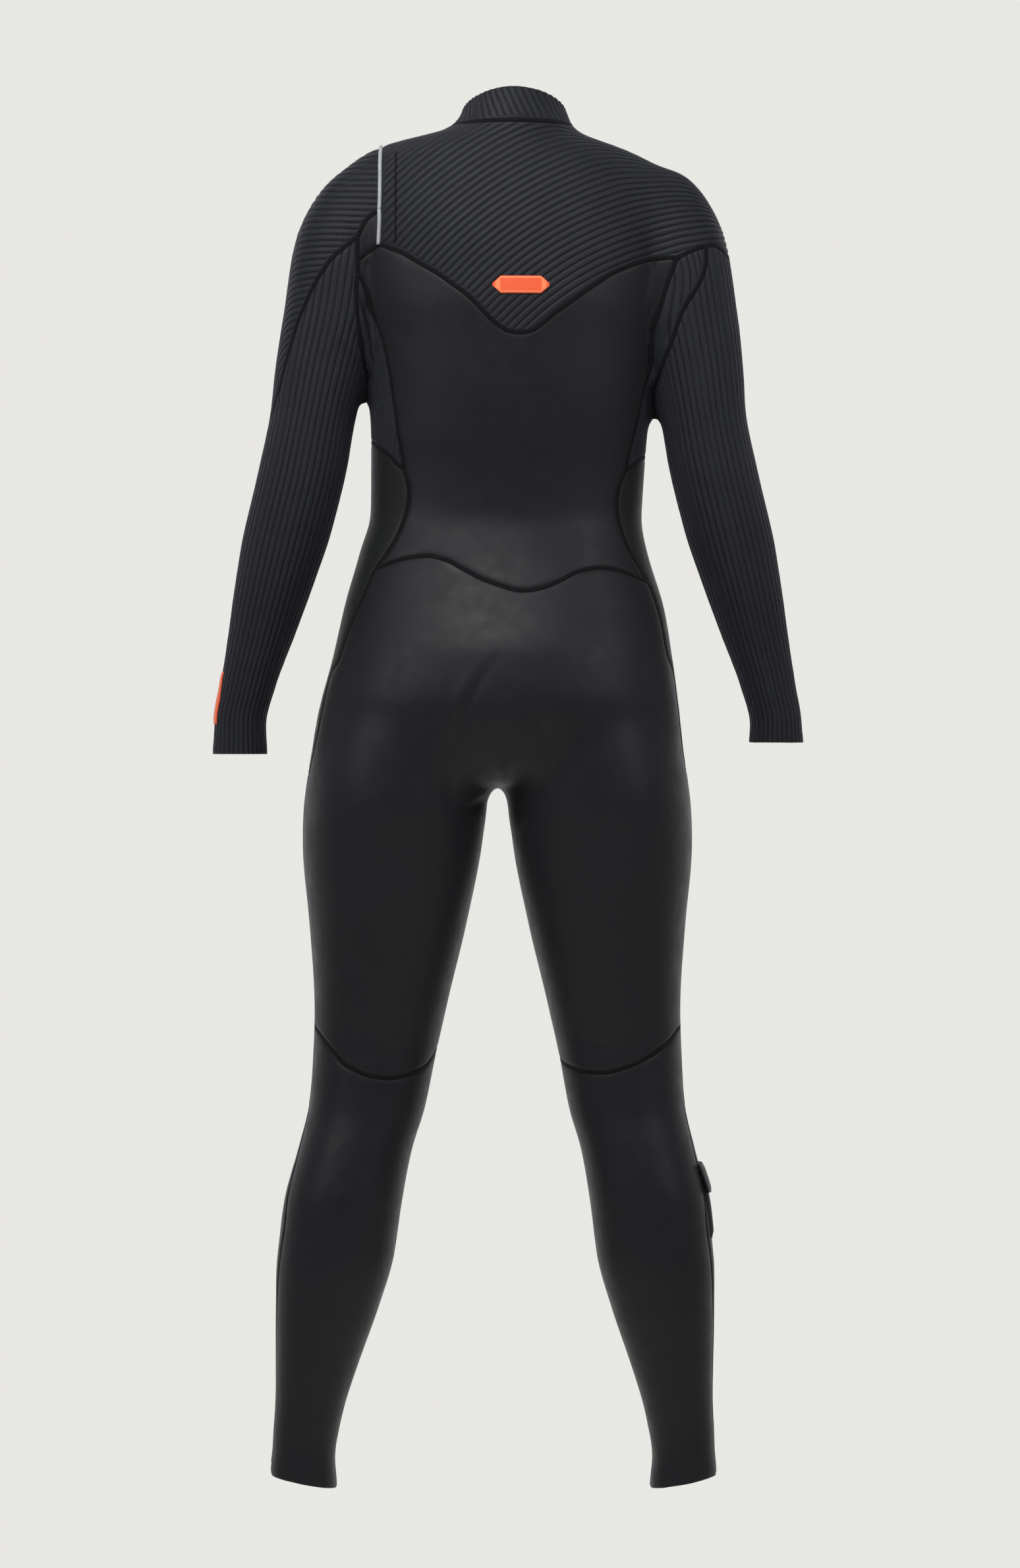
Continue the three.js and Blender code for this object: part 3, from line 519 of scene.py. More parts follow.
def arm_ribs(side, turn):
    """Ribs that run down an arm, and close in rings round the shoulder above the height turn."""
    rows = LIMBS["left_arm" if side > 0 else "right_arm"]

    def count(points):
        x, y, z = in_mm(points)
        at = between(rows, np.clip(z, rows[0, 0], turn))
        middle, half, front, back = at[:, 1], at[:, 2], at[:, 3], at[:, 4]
        deep = (back - front) / 2
        around = np.abs(np.arctan2((x - middle) / half, (y - (front + back) / 2) / deep))
        radius = ARM_RADIUS * ((half + deep) / 2 / ARM_RADIUS) ** 0.4
        in_front = ease(around, 1.3, 2.6)
        wrapped = around * (radius * (1 - in_front) + ARM_RADIUS * in_front)
        rise = np.maximum(z - turn, 0)
        return np.hypot(wrapped, 1.06 * rise) / RIB

    return count


def collar_ribs(points):
    x, y, z = in_mm(points)
    around = np.arctan2(x - NECK_X, y - NECK_Y) * NECK_RADIUS
    return (0.9 * around - 0.43 * z) / RIB


def underarm_ribs(points):
    x, y, z = in_mm(points)
    return (0.85 * np.abs(x) - 0.85 * y + 0.12 * z + 2.4 * np.sin(z / 16)) / RIB


RIBS = {
    "collar": collar_ribs,
    "back_yoke": arc_ribs(1, 70, 1215),
    "chest_overlay": arc_ribs(-1, 75, 1225),
    "left_sleeve_front": arm_ribs(1, SHOULDER_TURN),
    "left_sleeve_back": arm_ribs(1, ARM_TOP),
    "right_sleeve_front": arm_ribs(-1, ARM_TOP),
    "right_sleeve_back": arm_ribs(-1, ARM_TOP),
    "left_underarm_panel": underarm_ribs,
    "right_underarm_panel": underarm_ribs,
}
print(len(RIBS), "ribbed panels")

# %% [markdown]
# ## Cloth with a thickness
# A panel is cut out of the skin, made finer, and given an inner face 3.5 mm below, so it is a closed
# sheet of foam with an edge. Finer triangles are bent towards the point normals as they are made, which
# keeps the curve of the body. Near a seam the face sinks, as foam does under a line of stitches.

# %% Where the seams run
SHEET = 3.5 * MM
real = (border_pair > 0).all(axis=1)
seam_points = skin_v[border[real]].mean(axis=1)
seam_points = np.concatenate([seam_points, skin_v[np.unique(border[real])]])
seam_tree = KDTree(len(seam_points))
for i, p in enumerate(seam_points):
    seam_tree.insert(p, i)
seam_tree.balance()


def seam_distance(points):
    return np.array([seam_tree.find(p)[2] for p in points.tolist()])


# %% Folds in the cloth: middle, direction, half length, width and depth, in millimetres
FOLDS = [
    ((46, 118, 750), (-24, 72), 42, 6, 2.2),
    ((60, 104, 690), (2, 60), 32, 7, 1.5),
    ((34, 55, 664), (-29, 15), 17, 5, 1.8),
    ((4, 60, 706), (5, 20), 20, 5, 0.9),
    ((-12, 55, 655), (-16, 30), 26, 6, 1.2),
    ((-32, 112, 735), (30, 52), 36, 8, 1.4),
    ((128, 40, 422), (60, -10), 34, 5, 0.7),
    ((-104, 40, 428), (60, 10), 34, 5, 0.7),
    ((137, 60, 1142), (8, 60), 26, 4, 1.5),
    ((134, 60, 1098), (-10, 40), 22, 4, 1.3),
    ((-141, 60, 1150), (-8, 60), 26, 4, 1.5),
    ((-137, 60, 1104), (10, 40), 22, 4, 1.3),
    ((150, 40, 1120), (20, 40), 20, 5, 1.2),
    ((-152, 40, 1126), (-20, 40), 20, 5, 1.2),
]
FOLD_REACH, FOLD_BEND = 45, 0.003
print(len(FOLDS), "folds")


def fold_depth(points):
    x, y, z = in_mm(points)
    total = np.zeros(len(points))
    for (fx, fy, fz), (dx, dz), long, wide, deep in FOLDS:
        size = math.hypot(dx, dz)
        along = ((x - fx) * dx + (z - fz) * dz) / size
        across = ((x - fx) * dz - (z - fz) * dx) / size + FOLD_BEND * along**2
        near = np.exp(-((along / long) ** 2) - ((y - fy) / FOLD_REACH) ** 2)
        valley = np.exp(-((across / wide) ** 2))
        ridge = 0.5 * np.exp(-(((across - 1.9 * wide) / wide) ** 2))
        total += near * deep * (valley - ridge)
    return total


# %% Make a closed panel
def halve(v, n, f, rim):
    """Four triangles from each one. rim holds the points along each free edge, in order."""
    edges = np.sort(sides_of(f), axis=1)
    unique, inverse = np.unique(edges, axis=0, return_inverse=True)
    m = len(v) + inverse.reshape(3, -1).T
    a, b, na, nb = v[unique[:, 0]], v[unique[:, 1]], n[unique[:, 0]], n[unique[:, 1]]
    lift_a = ((b - a) * na).sum(axis=1, keepdims=True)
    lift_b = ((a - b) * nb).sum(axis=1, keepdims=True)
    middle = (a + b) / 2 - (lift_a * na + lift_b * nb) / 8
    mixed = na + nb
    mixed /= np.linalg.norm(mixed, axis=1, keepdims=True)
    finer = np.concatenate([
        np.stack([f[:, 0], m[:, 0], m[:, 2]], 1),
        np.stack([m[:, 0], f[:, 1], m[:, 1]], 1),
        np.stack([m[:, 2], m[:, 1], f[:, 2]], 1),
        m,
    ])
    count = len(v)
    key = unique[:, 0] * count + unique[:, 1]
    pairs = np.sort(np.stack([rim[:, :-1], rim[:, 1:]], 2), axis=2)
    at = len(v) + np.searchsorted(key, pairs[..., 0] * count + pairs[..., 1])
    longer = np.empty((len(rim), 2 * rim.shape[1] - 1), int)
    longer[:, 0::2], longer[:, 1::2] = rim, at
    return np.concatenate([v, middle]), np.concatenate([n, mixed]), finer, longer


def free_edges(f):
    ends = sides_of(f)
    key = np.sort(ends, axis=1)
    _, inverse, count = np.unique(key, axis=0, return_inverse=True, return_counts=True)
    return ends[count[inverse.ravel()] == 1]


def mesh_object(name, v, f, attributes=()):
    mesh = bpy.data.meshes.new(name)
    mesh.vertices.add(len(v))
    mesh.vertices.foreach_set("co", np.asarray(v, np.float32).ravel())
    mesh.loops.add(3 * len(f))
    mesh.loops.foreach_set("vertex_index", np.asarray(f, np.int32).ravel())
    mesh.polygons.add(len(f))
    mesh.polygons.foreach_set("loop_start", np.arange(0, 3 * len(f), 3, dtype=np.int32))
    mesh.polygons.foreach_set("use_smooth", np.full(len(f), True))
    for key, values in attributes:
        mesh.attributes.new(key, "FLOAT", "POINT").data.foreach_set("value", np.asarray(values, np.float32))
    mesh.update()
    mesh.validate()
    made = bpy.data.objects.new(name, mesh)
    bpy.context.collection.objects.link(made)
    return made


SEAM_DIP, SEAM_REACH = 1.2 * MM, 2.8 * MM
RIB_DEPTH = 0.85 * MM
RIBS_FADE_AT, RIBS_FULL_AT = 1.5 * MM, 4.5 * MM


def face_area(v, f):
    return np.linalg.norm(np.cross(v[f[:, 1]] - v[f[:, 0]], v[f[:, 2]] - v[f[:, 0]]), axis=1).sum() / 2


def make_panel(name, index):
    """The closed panel, its cloth's area and its height, both in metres."""
    f = skin_f[skin_l == index]
    used, f = np.unique(f, return_inverse=True)
    f = f.reshape(-1, 3)
    v, n = skin_v[used], skin_n[used]
    coarse_v, coarse_n, coarse_f = v, n, f
    rim = free_edges(f)
    ribbed = name in RIBS
    for _ in range(2 if ribbed else 1):
        v, n, f, rim = halve(v, n, f, rim)
    gap = seam_distance(v)
    ribs = RIBS[name](v) if ribbed else np.zeros(len(v))
    inset = ease(gap, RIBS_FADE_AT, RIBS_FULL_AT)
    cross = np.abs(ribs % 1 - 0.5) * 2
    depth = SEAM_DIP * np.exp(-((gap / SEAM_REACH) ** 2)) + fold_depth(v) * MM
    if ribbed:
        depth = depth + RIB_DEPTH * inset * ease(cross, 0.35, 1.0)
    outer = v - n * depth[:, None]
    inner = coarse_v - coarse_n * SHEET
    a, b = rim[:, 0] + len(outer), rim[:, -1] + len(outer)
    walls = [np.stack([a, b, rim[:, -1]], 1)]
    walls += [np.stack([a, rim[:, k + 1], rim[:, k]], 1) for k in range(rim.shape[1] - 1)]
    every_v = np.concatenate([outer, inner])
    every_f = np.concatenate([f, coarse_f[:, ::-1] + len(outer)] + walls)
    values = np.concatenate([ribs, np.zeros(len(inner))])
    shade = np.concatenate([inset, np.zeros(len(inner))])
    panel = mesh_object(name + "_cloth", every_v, every_f, [("rib", values), ("clear", shade)])
    cloth = face_area(every_v, every_f) / 2
    long = every_v[:, 2].max() - every_v[:, 2].min()
    return panel, cloth, long


def stands_for(piece, node, body="suit"):
    """The piece moves with the body and takes the place of the CAD node."""
    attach(piece, body)
    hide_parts(node)


panels = {}
for index, name in enumerate(PANELS):
    panel, cloth, long = make_panel(name, index + 1)
    stands_for(panel, name)
    panels[name] = panel
    print(name, len(panel.data.polygons), "triangles,", round(cloth, 4), "square metres")

# %% [markdown]
# ## Stitched seams
# Neoprene is glued edge to edge and then sewn with a flat stitch about 4.5 mm wide. Each seam is a low
# strip that follows the shared edge of two panels. A second number runs along the strip in metres and
# places the stitches.

# %% Follow the shared edges from one junction to the next
def ordered(a, b):
    return min(a, b), max(a, b)


def chains(edges, pairs):
    """Paths of points along the seams, each with the two panels that it joins."""
    links = {}
    for (a, b), pair in zip(edges.tolist(), np.sort(pairs, axis=1).tolist()):
        links.setdefault(a, []).append((b, tuple(pair)))
        links.setdefault(b, []).append((a, tuple(pair)))
    done = set()

    def walk(start, second, pair):
        path = [start, second]
        done.add(ordered(start, second))
        while len(links[path[-1]]) == 2:
            last = path[-1]
            options = [q for q, kind in links[last] if kind == pair and ordered(q, last) not in done]
            if not options:
                break
            done.add(ordered(options[0], last))
            path.append(options[0])
        return path

    found = []
    for ends_only in (True, False):
        for start, around in links.items():
            if ends_only and len(around) == 2:
                continue
            for second, pair in around:
                if ordered(start, second) not in done:
                    found.append((walk(start, second, pair), pair))
    return found


def resample(path, step):
    length = np.concatenate([[0], np.cumsum(np.linalg.norm(np.diff(path, axis=0), axis=1))])
    count = max(3, int(round(length[-1] / step)) + 1)
    at = np.linspace(0, length[-1], count)
    return np.stack([np.interp(at, length, path[:, k]) for k in range(3)], 1), at


skin_tree_split = BVHTree.FromPolygons(skin_v.tolist(), skin_f.tolist())
STRIP_STEP = 2.5 * MM


def on_skin(points):
    """The nearest points of the skin and the smooth outward direction there."""
    spots, normals = [], []
    for p in points:
        spot, _, face, _ = skin_tree_split.find_nearest(p)
        spots.append(spot)
        corner = skin_f[face]
        near = np.linalg.norm(skin_v[corner] - np.array(spot), axis=1)
        normals.append((skin_n[corner] / np.maximum(near, 1e-6)[:, None]).sum(axis=0))
    normals = np.array(normals)
    return np.array(spots), normals / np.linalg.norm(normals, axis=1, keepdims=True)


def strip(path, profile, step=STRIP_STEP):
    """A closed strip along a path on the skin. Its profile is a loop of (sideways, outwards) in metres."""
    path, along = resample(np.asarray(path), step)
    if len(path) > 6:
        for _ in range(4):
            path[1:-1] = 0.5 * path[1:-1] + 0.25 * (path[:-2] + path[2:])
    spots, normals = on_skin(path)
    run = np.gradient(spots, axis=0)
    run /= np.maximum(np.linalg.norm(run, axis=1, keepdims=True), 1e-9)
    side = np.cross(normals, run)
    count = len(profile)
    points = [spots[:, None] + side[:, None] * s + normals[:, None] * h for s, h in profile]
    v = np.concatenate(points, axis=1).reshape(-1, 3)
    f = []
    for a, b, c, d in ring_quads(len(spots), count):
        f += [(a, b, c), (a, c, d)]
    last = (len(spots) - 1) * count
    for i in range(1, count - 1):
        f += [(0, i + 1, i), (last, last + i, last + i + 1)]
    across = np.tile([s for s, _ in profile], len(spots))
    return v, np.array(f), np.repeat(along, count), across


def join_strips(name, strips):
    v, f, along, across, count = [], [], [], [], 0
    for sv, sf, sa, sc in strips:
        v.append(sv)
        f.append(sf + count)
        along.append(sa)
        across.append(sc)
        count += len(sv)
    made = mesh_object(name, np.concatenate(v), np.concatenate(f),
                       [("along", np.concatenate(along)), ("across", np.concatenate(across) / MM)])
    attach(made, "suit")
    return made


def flat_profile(wide, top, foot, sunk):
    """A low strip with rounded shoulders, sunk into the cloth."""
    half, brow, low = wide / 2, wide / 2 * 0.6, top * 0.2
    outline = [(-half, foot), (half, foot), (half, low), (brow, top), (-brow, top), (-half, low)]
    return [(s, h - sunk) for s, h in outline]


def numbers_of(*names):
    return {PANELS.index(name) + 1 for name in names}


SEAM_WIDE = 4.4 * MM
seam_profile = flat_profile(SEAM_WIDE, 0.45 * MM, -1.2 * MM, 0.6 * MM)
FREE_EDGE_PAIRS = [
    numbers_of("back_yoke", "left_sleeve_front"),
    numbers_of("chest_overlay", "left_sleeve_front"),
    numbers_of("back_yoke", "left_shoulder_gusset"),
]
seam_strips, free_edge_paths = [], []
for path, pair in chains(border[real], border_pair[real]):
    if len(path) < 4:
        continue
    if set(pair) in FREE_EDGE_PAIRS:
        free_edge_paths.append(skin_v[path])
    else:
        seam_strips.append(strip(skin_v[path], seam_profile))
seams = join_strips("flat_stitched_seams", seam_strips)
print(len(seam_strips), "seams,", len(free_edge_paths), "free edge runs")

# %% The free edge of the yoke, which lies over the left shoulder
EDGE_PROFILE_MM = [(-1.4, -1.5), (1.4, -1.5), (1.5, 1.5), (0.8, 2.2), (-0.8, 2.2), (-1.5, 1.5)]
edge_profile = [(s * MM, h * MM) for s, h in EDGE_PROFILE_MM]
edge_strips = [strip(path, edge_profile) for path in free_edge_paths]
free_edge = join_strips("yoke_free_edge", edge_strips)
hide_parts("overlay_edge_binding")

# %% [markdown]
# ## Seals, patches and the key pocket
# The seals are plain rings that line each opening. The patches and the pocket are small grids of points
# that are dropped onto the skin, so that they bend with it, and then given a thickness.

# %% Rings inside the neck, wrists and ankles
SEAL_OUT, SEAL_IN, SEAL_LONG = 3.9, 5.8, 32
WRIST_SEAL_UP, ANKLE_SEAL_UP = 3, 6
SEAL_SIDES, SEAL_LEVELS = 96, 9


def seal(node, limb, low, high, rim=None):
    """A thin ring inside a limb's cloth between two heights, or up to just below a rim."""
    sides = SEAL_SIDES
    heights = np.linspace(low, high, SEAL_LEVELS)
    outer, inner = rings(limb, heights, sides, -SEAL_OUT), rings(limb, heights, sides, -SEAL_IN)
    if rim is not None:
        for ring in (outer, inner):
            share = np.linspace(0, 1, len(heights))[:, None]
            top = HEM_Z + (np.interp(ring[-1][:, 1] / MM, rim[:, 0], rim[:, 1]) - 3) * K * MM
            ring[:, :, 2] = ring[0][:, 2] * (1 - share) + top * share
    v = np.concatenate([outer.reshape(-1, 3), inner.reshape(-1, 3)])
    half, f = len(v) // 2, []
    for a, b, c, d in ring_quads(len(heights), sides):
        f += [(a, b, c), (a, c, d), (a + half, c + half, b + half), (a + half, d + half, c + half)]
    top = (len(heights) - 1) * sides
    for i in range(sides):
        j = (i + 1) % sides
        f += [(i, i + half, j + half), (i, j + half, j)]
        f += [(top + i, top + j, top + j + half), (top + i, top + j + half, top + i + half)]
    made = mesh_object(node + "_ring", v, np.array(f))
    stands_for(made, node)
    return made


seals = [seal("neck_seal", "trunk", 1341, 1372, COLLAR_RIM)]
for side, wrist_hem in (("left", LEFT_HEM), ("right", RIGHT_HEM)):
    low = wrist_hem + WRIST_SEAL_UP
    seals.append(seal(side + "_wrist_seal", side + "_arm", low, low + SEAL_LONG))
for side in ("left", "right"):
    seals.append(seal(side + "_ankle_seal", side + "_leg", ANKLE_SEAL_UP, ANKLE_SEAL_UP + SEAL_LONG))
print(len(seals), "seals")


# %% Drop a grid of points onto the skin
def dropped(u, v, axis, start):
    """Points of the skin met from start along an axis, where u and v are the other two coordinates."""
    points = []
    direction = [0, 0, 0]
    direction[axis] = -math.copysign(1, start)
    for a, b in zip(np.ravel(u), np.ravel(v)):
        origin = [a, b]
        origin.insert(axis, start)
        points.append(skin_tree_split.ray_cast(Vector(origin), Vector(direction))[0])
    points, normals = on_skin(points)
    return points.reshape(*np.shape(u), 3), normals.reshape(*np.shape(u), 3)


def grid_solid(name, points, normals, low, high):
    """A closed sheet over a grid of points, between two heights above them."""
    rows, columns = points.shape[:2]
    high = np.broadcast_to(high, (rows, columns))[..., None]
    v = np.concatenate([(points + normals * high).reshape(-1, 3), (points + normals * low).reshape(-1, 3)])
    half, f = rows * columns, []
    up = np.dot(np.cross(points[0, 1] - points[0, 0], points[1, 0] - points[0, 0]), normals[0, 0]) > 0

    def face(a, b, c, d):
        quad = (a, b, c, d) if up else (d, c, b, a)
        f.extend([(quad[0], quad[1], quad[2]), (quad[0], quad[2], quad[3])])

    for r in range(rows - 1):
        for c in range(columns - 1):
            a = r * columns + c
            b, d, e = a + 1, a + columns + 1, a + columns
            face(a, b, d, e)
            face(e + half, d + half, b + half, a + half)
    numbers = np.arange(half).reshape(rows, columns)
    border = [numbers[0], numbers[1:, -1], numbers[-1, -2::-1], numbers[-2::-1, 0]]
    border = np.concatenate(border).tolist()
    for a, b in zip(border, border[1:]):
        face(a + half, b + half, b, a)
    u = np.linspace(-1, 1, columns)[None, :] * np.ones((rows, 1))
    w = np.linspace(-1, 1, rows)[:, None] * np.ones((1, columns))
    values = [("u", np.tile(u.ravel(), 2)), ("w", np.tile(w.ravel(), 2))]
    return mesh_object(name, v, np.array(f), values)


def crown(rows, columns, edge, top, share=0.12):
    """Heights that rise from an edge to a flat top."""
    r = np.minimum(np.linspace(0, 1, rows), np.linspace(1, 0, rows))[:, None]
    c = np.minimum(np.linspace(0, 1, columns), np.linspace(1, 0, columns))[None, :]
    return edge + (top - edge) * ease(np.minimum(r, c), 0, share)


# %% The back badge: a long patch with pointed ends
def z_at(height):
    return HEM_Z + height * K * MM


BADGE_X, BADGE_Z, BADGE_HALF_LONG, BADGE_HALF_HIGH = -10, 1169, 27.5, 8.5
BADGE_POINT, BADGE_TIP = 8, 1.2
BADGE_ROWS, BADGE_COLUMNS = 23, 67
UNDER_SKIN = -1.0 * MM
badge_x = np.linspace(-BADGE_HALF_LONG, BADGE_HALF_LONG, BADGE_COLUMNS)
badge_half = np.interp(BADGE_HALF_LONG - np.abs(badge_x), [0, BADGE_POINT], [BADGE_TIP, BADGE_HALF_HIGH])
badge_u = np.tile((BADGE_X + badge_x) * MM, (BADGE_ROWS, 1))
badge_v = z_at(BADGE_Z) + np.linspace(-1, 1, BADGE_ROWS)[:, None] * badge_half[None, :] * MM
badge_points, badge_normals = dropped(badge_u, badge_v, 1, 1.0)
badge_top = crown(BADGE_ROWS, BADGE_COLUMNS, 0.9 * MM, 1.6 * MM)
badge = grid_solid("back_badge_patch", badge_points, badge_normals, UNDER_SKIN, badge_top)
stands_for(badge, "back_badge")

# %% The wrist tab and the key pocket with its flap
def patch_on_side(name, depths, heights, rows, columns, start, low, high):
    """A patch on the outer side of a limb, between two depths and two heights in millimetres."""
    low_z, high_z = (z_at(height) for height in heights)
    y, z = np.meshgrid(np.linspace(*depths, columns) * MM, np.linspace(low_z, high_z, rows))
    points, normals = dropped(y, z, 0, start)
    return grid_solid(name, points, normals, low, high)


wrist_tab = patch_on_side("wrist_tab_patch", (-34, -10), (745, 797), 33, 15, 1.0,
                          UNDER_SKIN, crown(33, 15, 0.6 * MM, 1.5 * MM))
stands_for(wrist_tab, "wrist_tab")

pocket = patch_on_side("key_pocket_cloth", (-15, 25), (240, 300), 45, 31, -1.0,
                       UNDER_SKIN, crown(45, 31, 0.8 * MM, 2.6 * MM))
stands_for(pocket, "key_pocket")
# The flap is thickest at its free lower edge, where its hem is turned in.
flap_hem = np.linspace(1.6, 0, 23)[:, None] * MM
flap = patch_on_side("key_pocket_flap_cloth", (-18, 28), (284, 312), 23, 35, -1.0,
                     2.8 * MM, crown(23, 35, 3.8 * MM, 4.7 * MM, 0.2) + flap_hem)
stands_for(flap, "key_pocket_flap", "pocket_flap")
print("badge, tab, pocket and flap made")

# %% A line of stitches beside the yoke's free edge
STITCH_X, STITCH_LOW, STITCH_HIGH, STITCH_POINTS = 112.0, 1212, 1304, 40
stitch_u = np.full(STITCH_POINTS, STITCH_X) * MM
stitch_v = np.linspace(z_at(STITCH_LOW), z_at(STITCH_HIGH), STITCH_POINTS)
stitch_points, _ = dropped(stitch_u, stitch_v, 1, 1.0)
line_profile = flat_profile(1.8 * MM, 0.35 * MM, -0.8 * MM, 0.05 * MM)
yoke_stitches = join_strips("yoke_edge_stitches", [strip(stitch_points, line_profile, 1.5 * MM)])
print("yoke stitches", len(yoke_stitches.data.polygons), "triangles")

# %% [markdown]
# ## Finishes
# The ribbed knit is a very dark navy and the plain jersey a charcoal black. Neither is shiny, but the
# fine nap on both catches light at a glancing angle, which a sheen on the shader gives.

# %% Helpers for node materials
def new_material(name, colour, roughness, **constants):
    """A material, its node tree and its shader. Constants go to the shader's sockets of the same name."""
    material = bpy.data.materials.new(name)
    material.use_nodes = True
    shader = material.node_tree.nodes["Principled BSDF"]
    shader.inputs["Base Color"].default_value = (*colour, 1)
    shader.inputs["Roughness"].default_value = roughness
    for key, value in constants.items():
        shader.inputs[key.replace("_", " ")].default_value = value
    return material, material.node_tree, shader


def noise(tree, scale, detail=2.0, stretch=None):
    place = tree.nodes.new("ShaderNodeTexCoord")
    texture = tree.nodes.new("ShaderNodeTexNoise")
    texture.inputs["Scale"].default_value = scale
    texture.inputs["Detail"].default_value = detail
    if stretch is None:
        tree.links.new(place.outputs["Object"], texture.inputs["Vector"])
    else:
        mapping = tree.nodes.new("ShaderNodeMapping")
        mapping.inputs["Scale"].default_value = stretch
        tree.links.new(place.outputs["Object"], mapping.inputs["Vector"])
        tree.links.new(mapping.outputs["Vector"], texture.inputs["Vector"])
    return texture.outputs["Fac"]


def ramp(tree, value, stops):
    made = tree.nodes.new("ShaderNodeValToRGB")
    while len(made.color_ramp.elements) < len(stops):
        made.color_ramp.elements.new(0.5)
    for element, (at, colour) in zip(made.color_ramp.elements, stops):
        element.position = at
        element.color = (*colour, 1)
    tree.links.new(value, made.inputs["Fac"])
    return made.outputs["Color"]


def math_node(tree, operation, a, b=None):
    made = tree.nodes.new("ShaderNodeMath")
    made.operation = operation
    for socket, value in zip(made.inputs, (a, b)):
        if value is None:
            continue
        if isinstance(value, (int, float)):
            socket.default_value = value
        else:
            tree.links.new(value, socket)
    return made.outputs[0]


def bump(tree, shader, height, distance, strength=1.0, under=None):
    made = tree.nodes.new("ShaderNodeBump")
    made.inputs["Distance"].default_value = distance
    made.inputs["Strength"].default_value = strength
    tree.links.new(height, made.inputs["Height"])
    if under is not None:
        tree.links.new(under, made.inputs["Normal"])
    tree.links.new(made.outputs["Normal"], shader.inputs["Normal"])
    return made.outputs["Normal"]


def mix(tree, share, a, b):
    made = tree.nodes.new("ShaderNodeMix")
    made.data_type = "RGBA"
    tree.links.new(share, made.inputs["Factor"])
    for socket, value in ((made.inputs[6], a), (made.inputs[7], b)):
        if isinstance(value, tuple):
            socket.default_value = (*value, 1)
        else:
            tree.links.new(value, socket)
    return made.outputs[2]


def attribute(tree, name):
    made = tree.nodes.new("ShaderNodeAttribute")
    made.attribute_name = name
    return made.outputs["Fac"]


# %% Ribbed knit
def ribbed_knit(name, ridge, groove_shade):
    material, tree, shader = new_material(
        name, ridge, 0.6, Specular_IOR_Level=0.25,
        Sheen_Weight=0.09, Sheen_Roughness=0.4, Sheen_Tint=(0.75, 0.78, 1.0, 1))
    ribs = attribute(tree, "rib")
    turn = math_node(tree, "FRACT", ribs)
    middle = math_node(tree, "ABSOLUTE", math_node(tree, "SUBTRACT", turn, 0.5))
    cross = math_node(tree, "MULTIPLY", middle, 2.0)
    # Painted shade: the grooves between the ribs are darkened in the colour as well as dented, and this
    # fades out near the seams.
    dark = ramp(tree, cross, [(0.0, (0, 0, 0)), (0.62, (0.05, 0.05, 0.05)), (0.92, (1, 1, 1))])
    clear = attribute(tree, "clear")
    dark = math_node(tree, "MULTIPLY", dark, clear)
    cloudy = ramp(tree, noise(tree, 22.0, 3.0),
                  [(0.3, tuple(0.88 * c for c in ridge)), (0.7, tuple(1.15 * c for c in ridge))])
    tree.links.new(mix(tree, dark, cloudy, groove_shade), shader.inputs["Base Color"])
    low = math_node(tree, "MULTIPLY", dark, -1.0)
    first = bump(tree, shader, low, 0.5 * MM, 0.8)
    bump(tree, shader, noise(tree, 900.0, 2.0), 0.18 * MM, 0.7, first)
    return material


# The second colour is painted shade for the rib grooves, not a second yarn.
RIBBED = ribbed_knit("ribbed navy knit", (0.0090, 0.0102, 0.0146), (0.0018, 0.0020, 0.0030))


# %% Plain jersey
def jersey(name, colour, roughness, sheen):
    material, tree, shader = new_material(
        name, colour, roughness, Specular_IOR_Level=0.22, Sheen_Weight=sheen, Sheen_Roughness=0.45)
    cloudy = ramp(tree, noise(tree, 9.0, 4.0),
                  [(0.3, tuple(0.9 * c for c in colour)), (0.7, tuple(1.12 * c for c in colour))])
    tree.links.new(cloudy, shader.inputs["Base Color"])
    rough = ramp(tree, noise(tree, 60.0, 3.0),
                 [(0.3, (roughness - 0.05,) * 3), (0.7, (roughness + 0.06,) * 3)])
    tree.links.new(rough, shader.inputs["Roughness"])
    first = bump(tree, shader, noise(tree, 1400.0, 1.0, (1, 1, 0.35)), 0.12 * MM, 0.6)
    bump(tree, shader, noise(tree, 14.0, 2.0), 1.2 * MM, 0.25, first)
    return material


SMOOTH = jersey("charcoal jersey", (0.0075, 0.0079, 0.0100), 0.48, 0.06)
SIDE = jersey("side jersey", (0.0065, 0.0078, 0.0072), 0.55, 0.06)
POCKET_CLOTH = jersey("pocket jersey", (0.007, 0.0074, 0.0088), 0.5, 0.06)


# %% Stitched tape, rubber, webbing and moulded plastic
def stitched(name, colour, thread, pitch):
    material, tree, shader = new_material(
        name, colour, 0.75, Specular_IOR_Level=0.1, Sheen_Weight=0.02)
    along = attribute(tree, "along")
    across = attribute(tree, "across")
    slant = math_node(tree, "ADD", math_node(tree, "MULTIPLY", along, 2 * math.pi / pitch),
                      math_node(tree, "MULTIPLY", across, 1.1))
    wave = math_node(tree, "SINE", slant)
    show = math_node(tree, "MULTIPLY_ADD", wave, 0.5)
    show.node.inputs[2].default_value = 0.5
    tree.links.new(mix(tree, show, colour, thread), shader.inputs["Base Color"])
    first = bump(tree, shader, show, 0.35 * MM, 0.9)
    bump(tree, shader, noise(tree, 1100.0, 1.0), 0.1 * MM, 0.5, first)
    return material


SEAM = stitched("flat stitch", (0.0020, 0.0021, 0.0026), (0.0070, 0.0073, 0.0088), 2.2 * MM)
LINE_STITCH = stitched("line stitch", (0.0020, 0.0021, 0.0028), (0.0060, 0.0064, 0.0085), 2.6 * MM)


def plain(name, colour, roughness, scale, distance, strength=0.5, **constants):
    material, tree, shader = new_material(name, colour, roughness, **constants)
    cloudy = ramp(tree, noise(tree, scale / 12, 3.0),
                  [(0.3, tuple(0.86 * c for c in colour)), (0.7, tuple(1.1 * c for c in colour))])
    tree.links.new(cloudy, shader.inputs["Base Color"])
    bump(tree, shader, noise(tree, scale, 2.0), distance, strength)
    return material


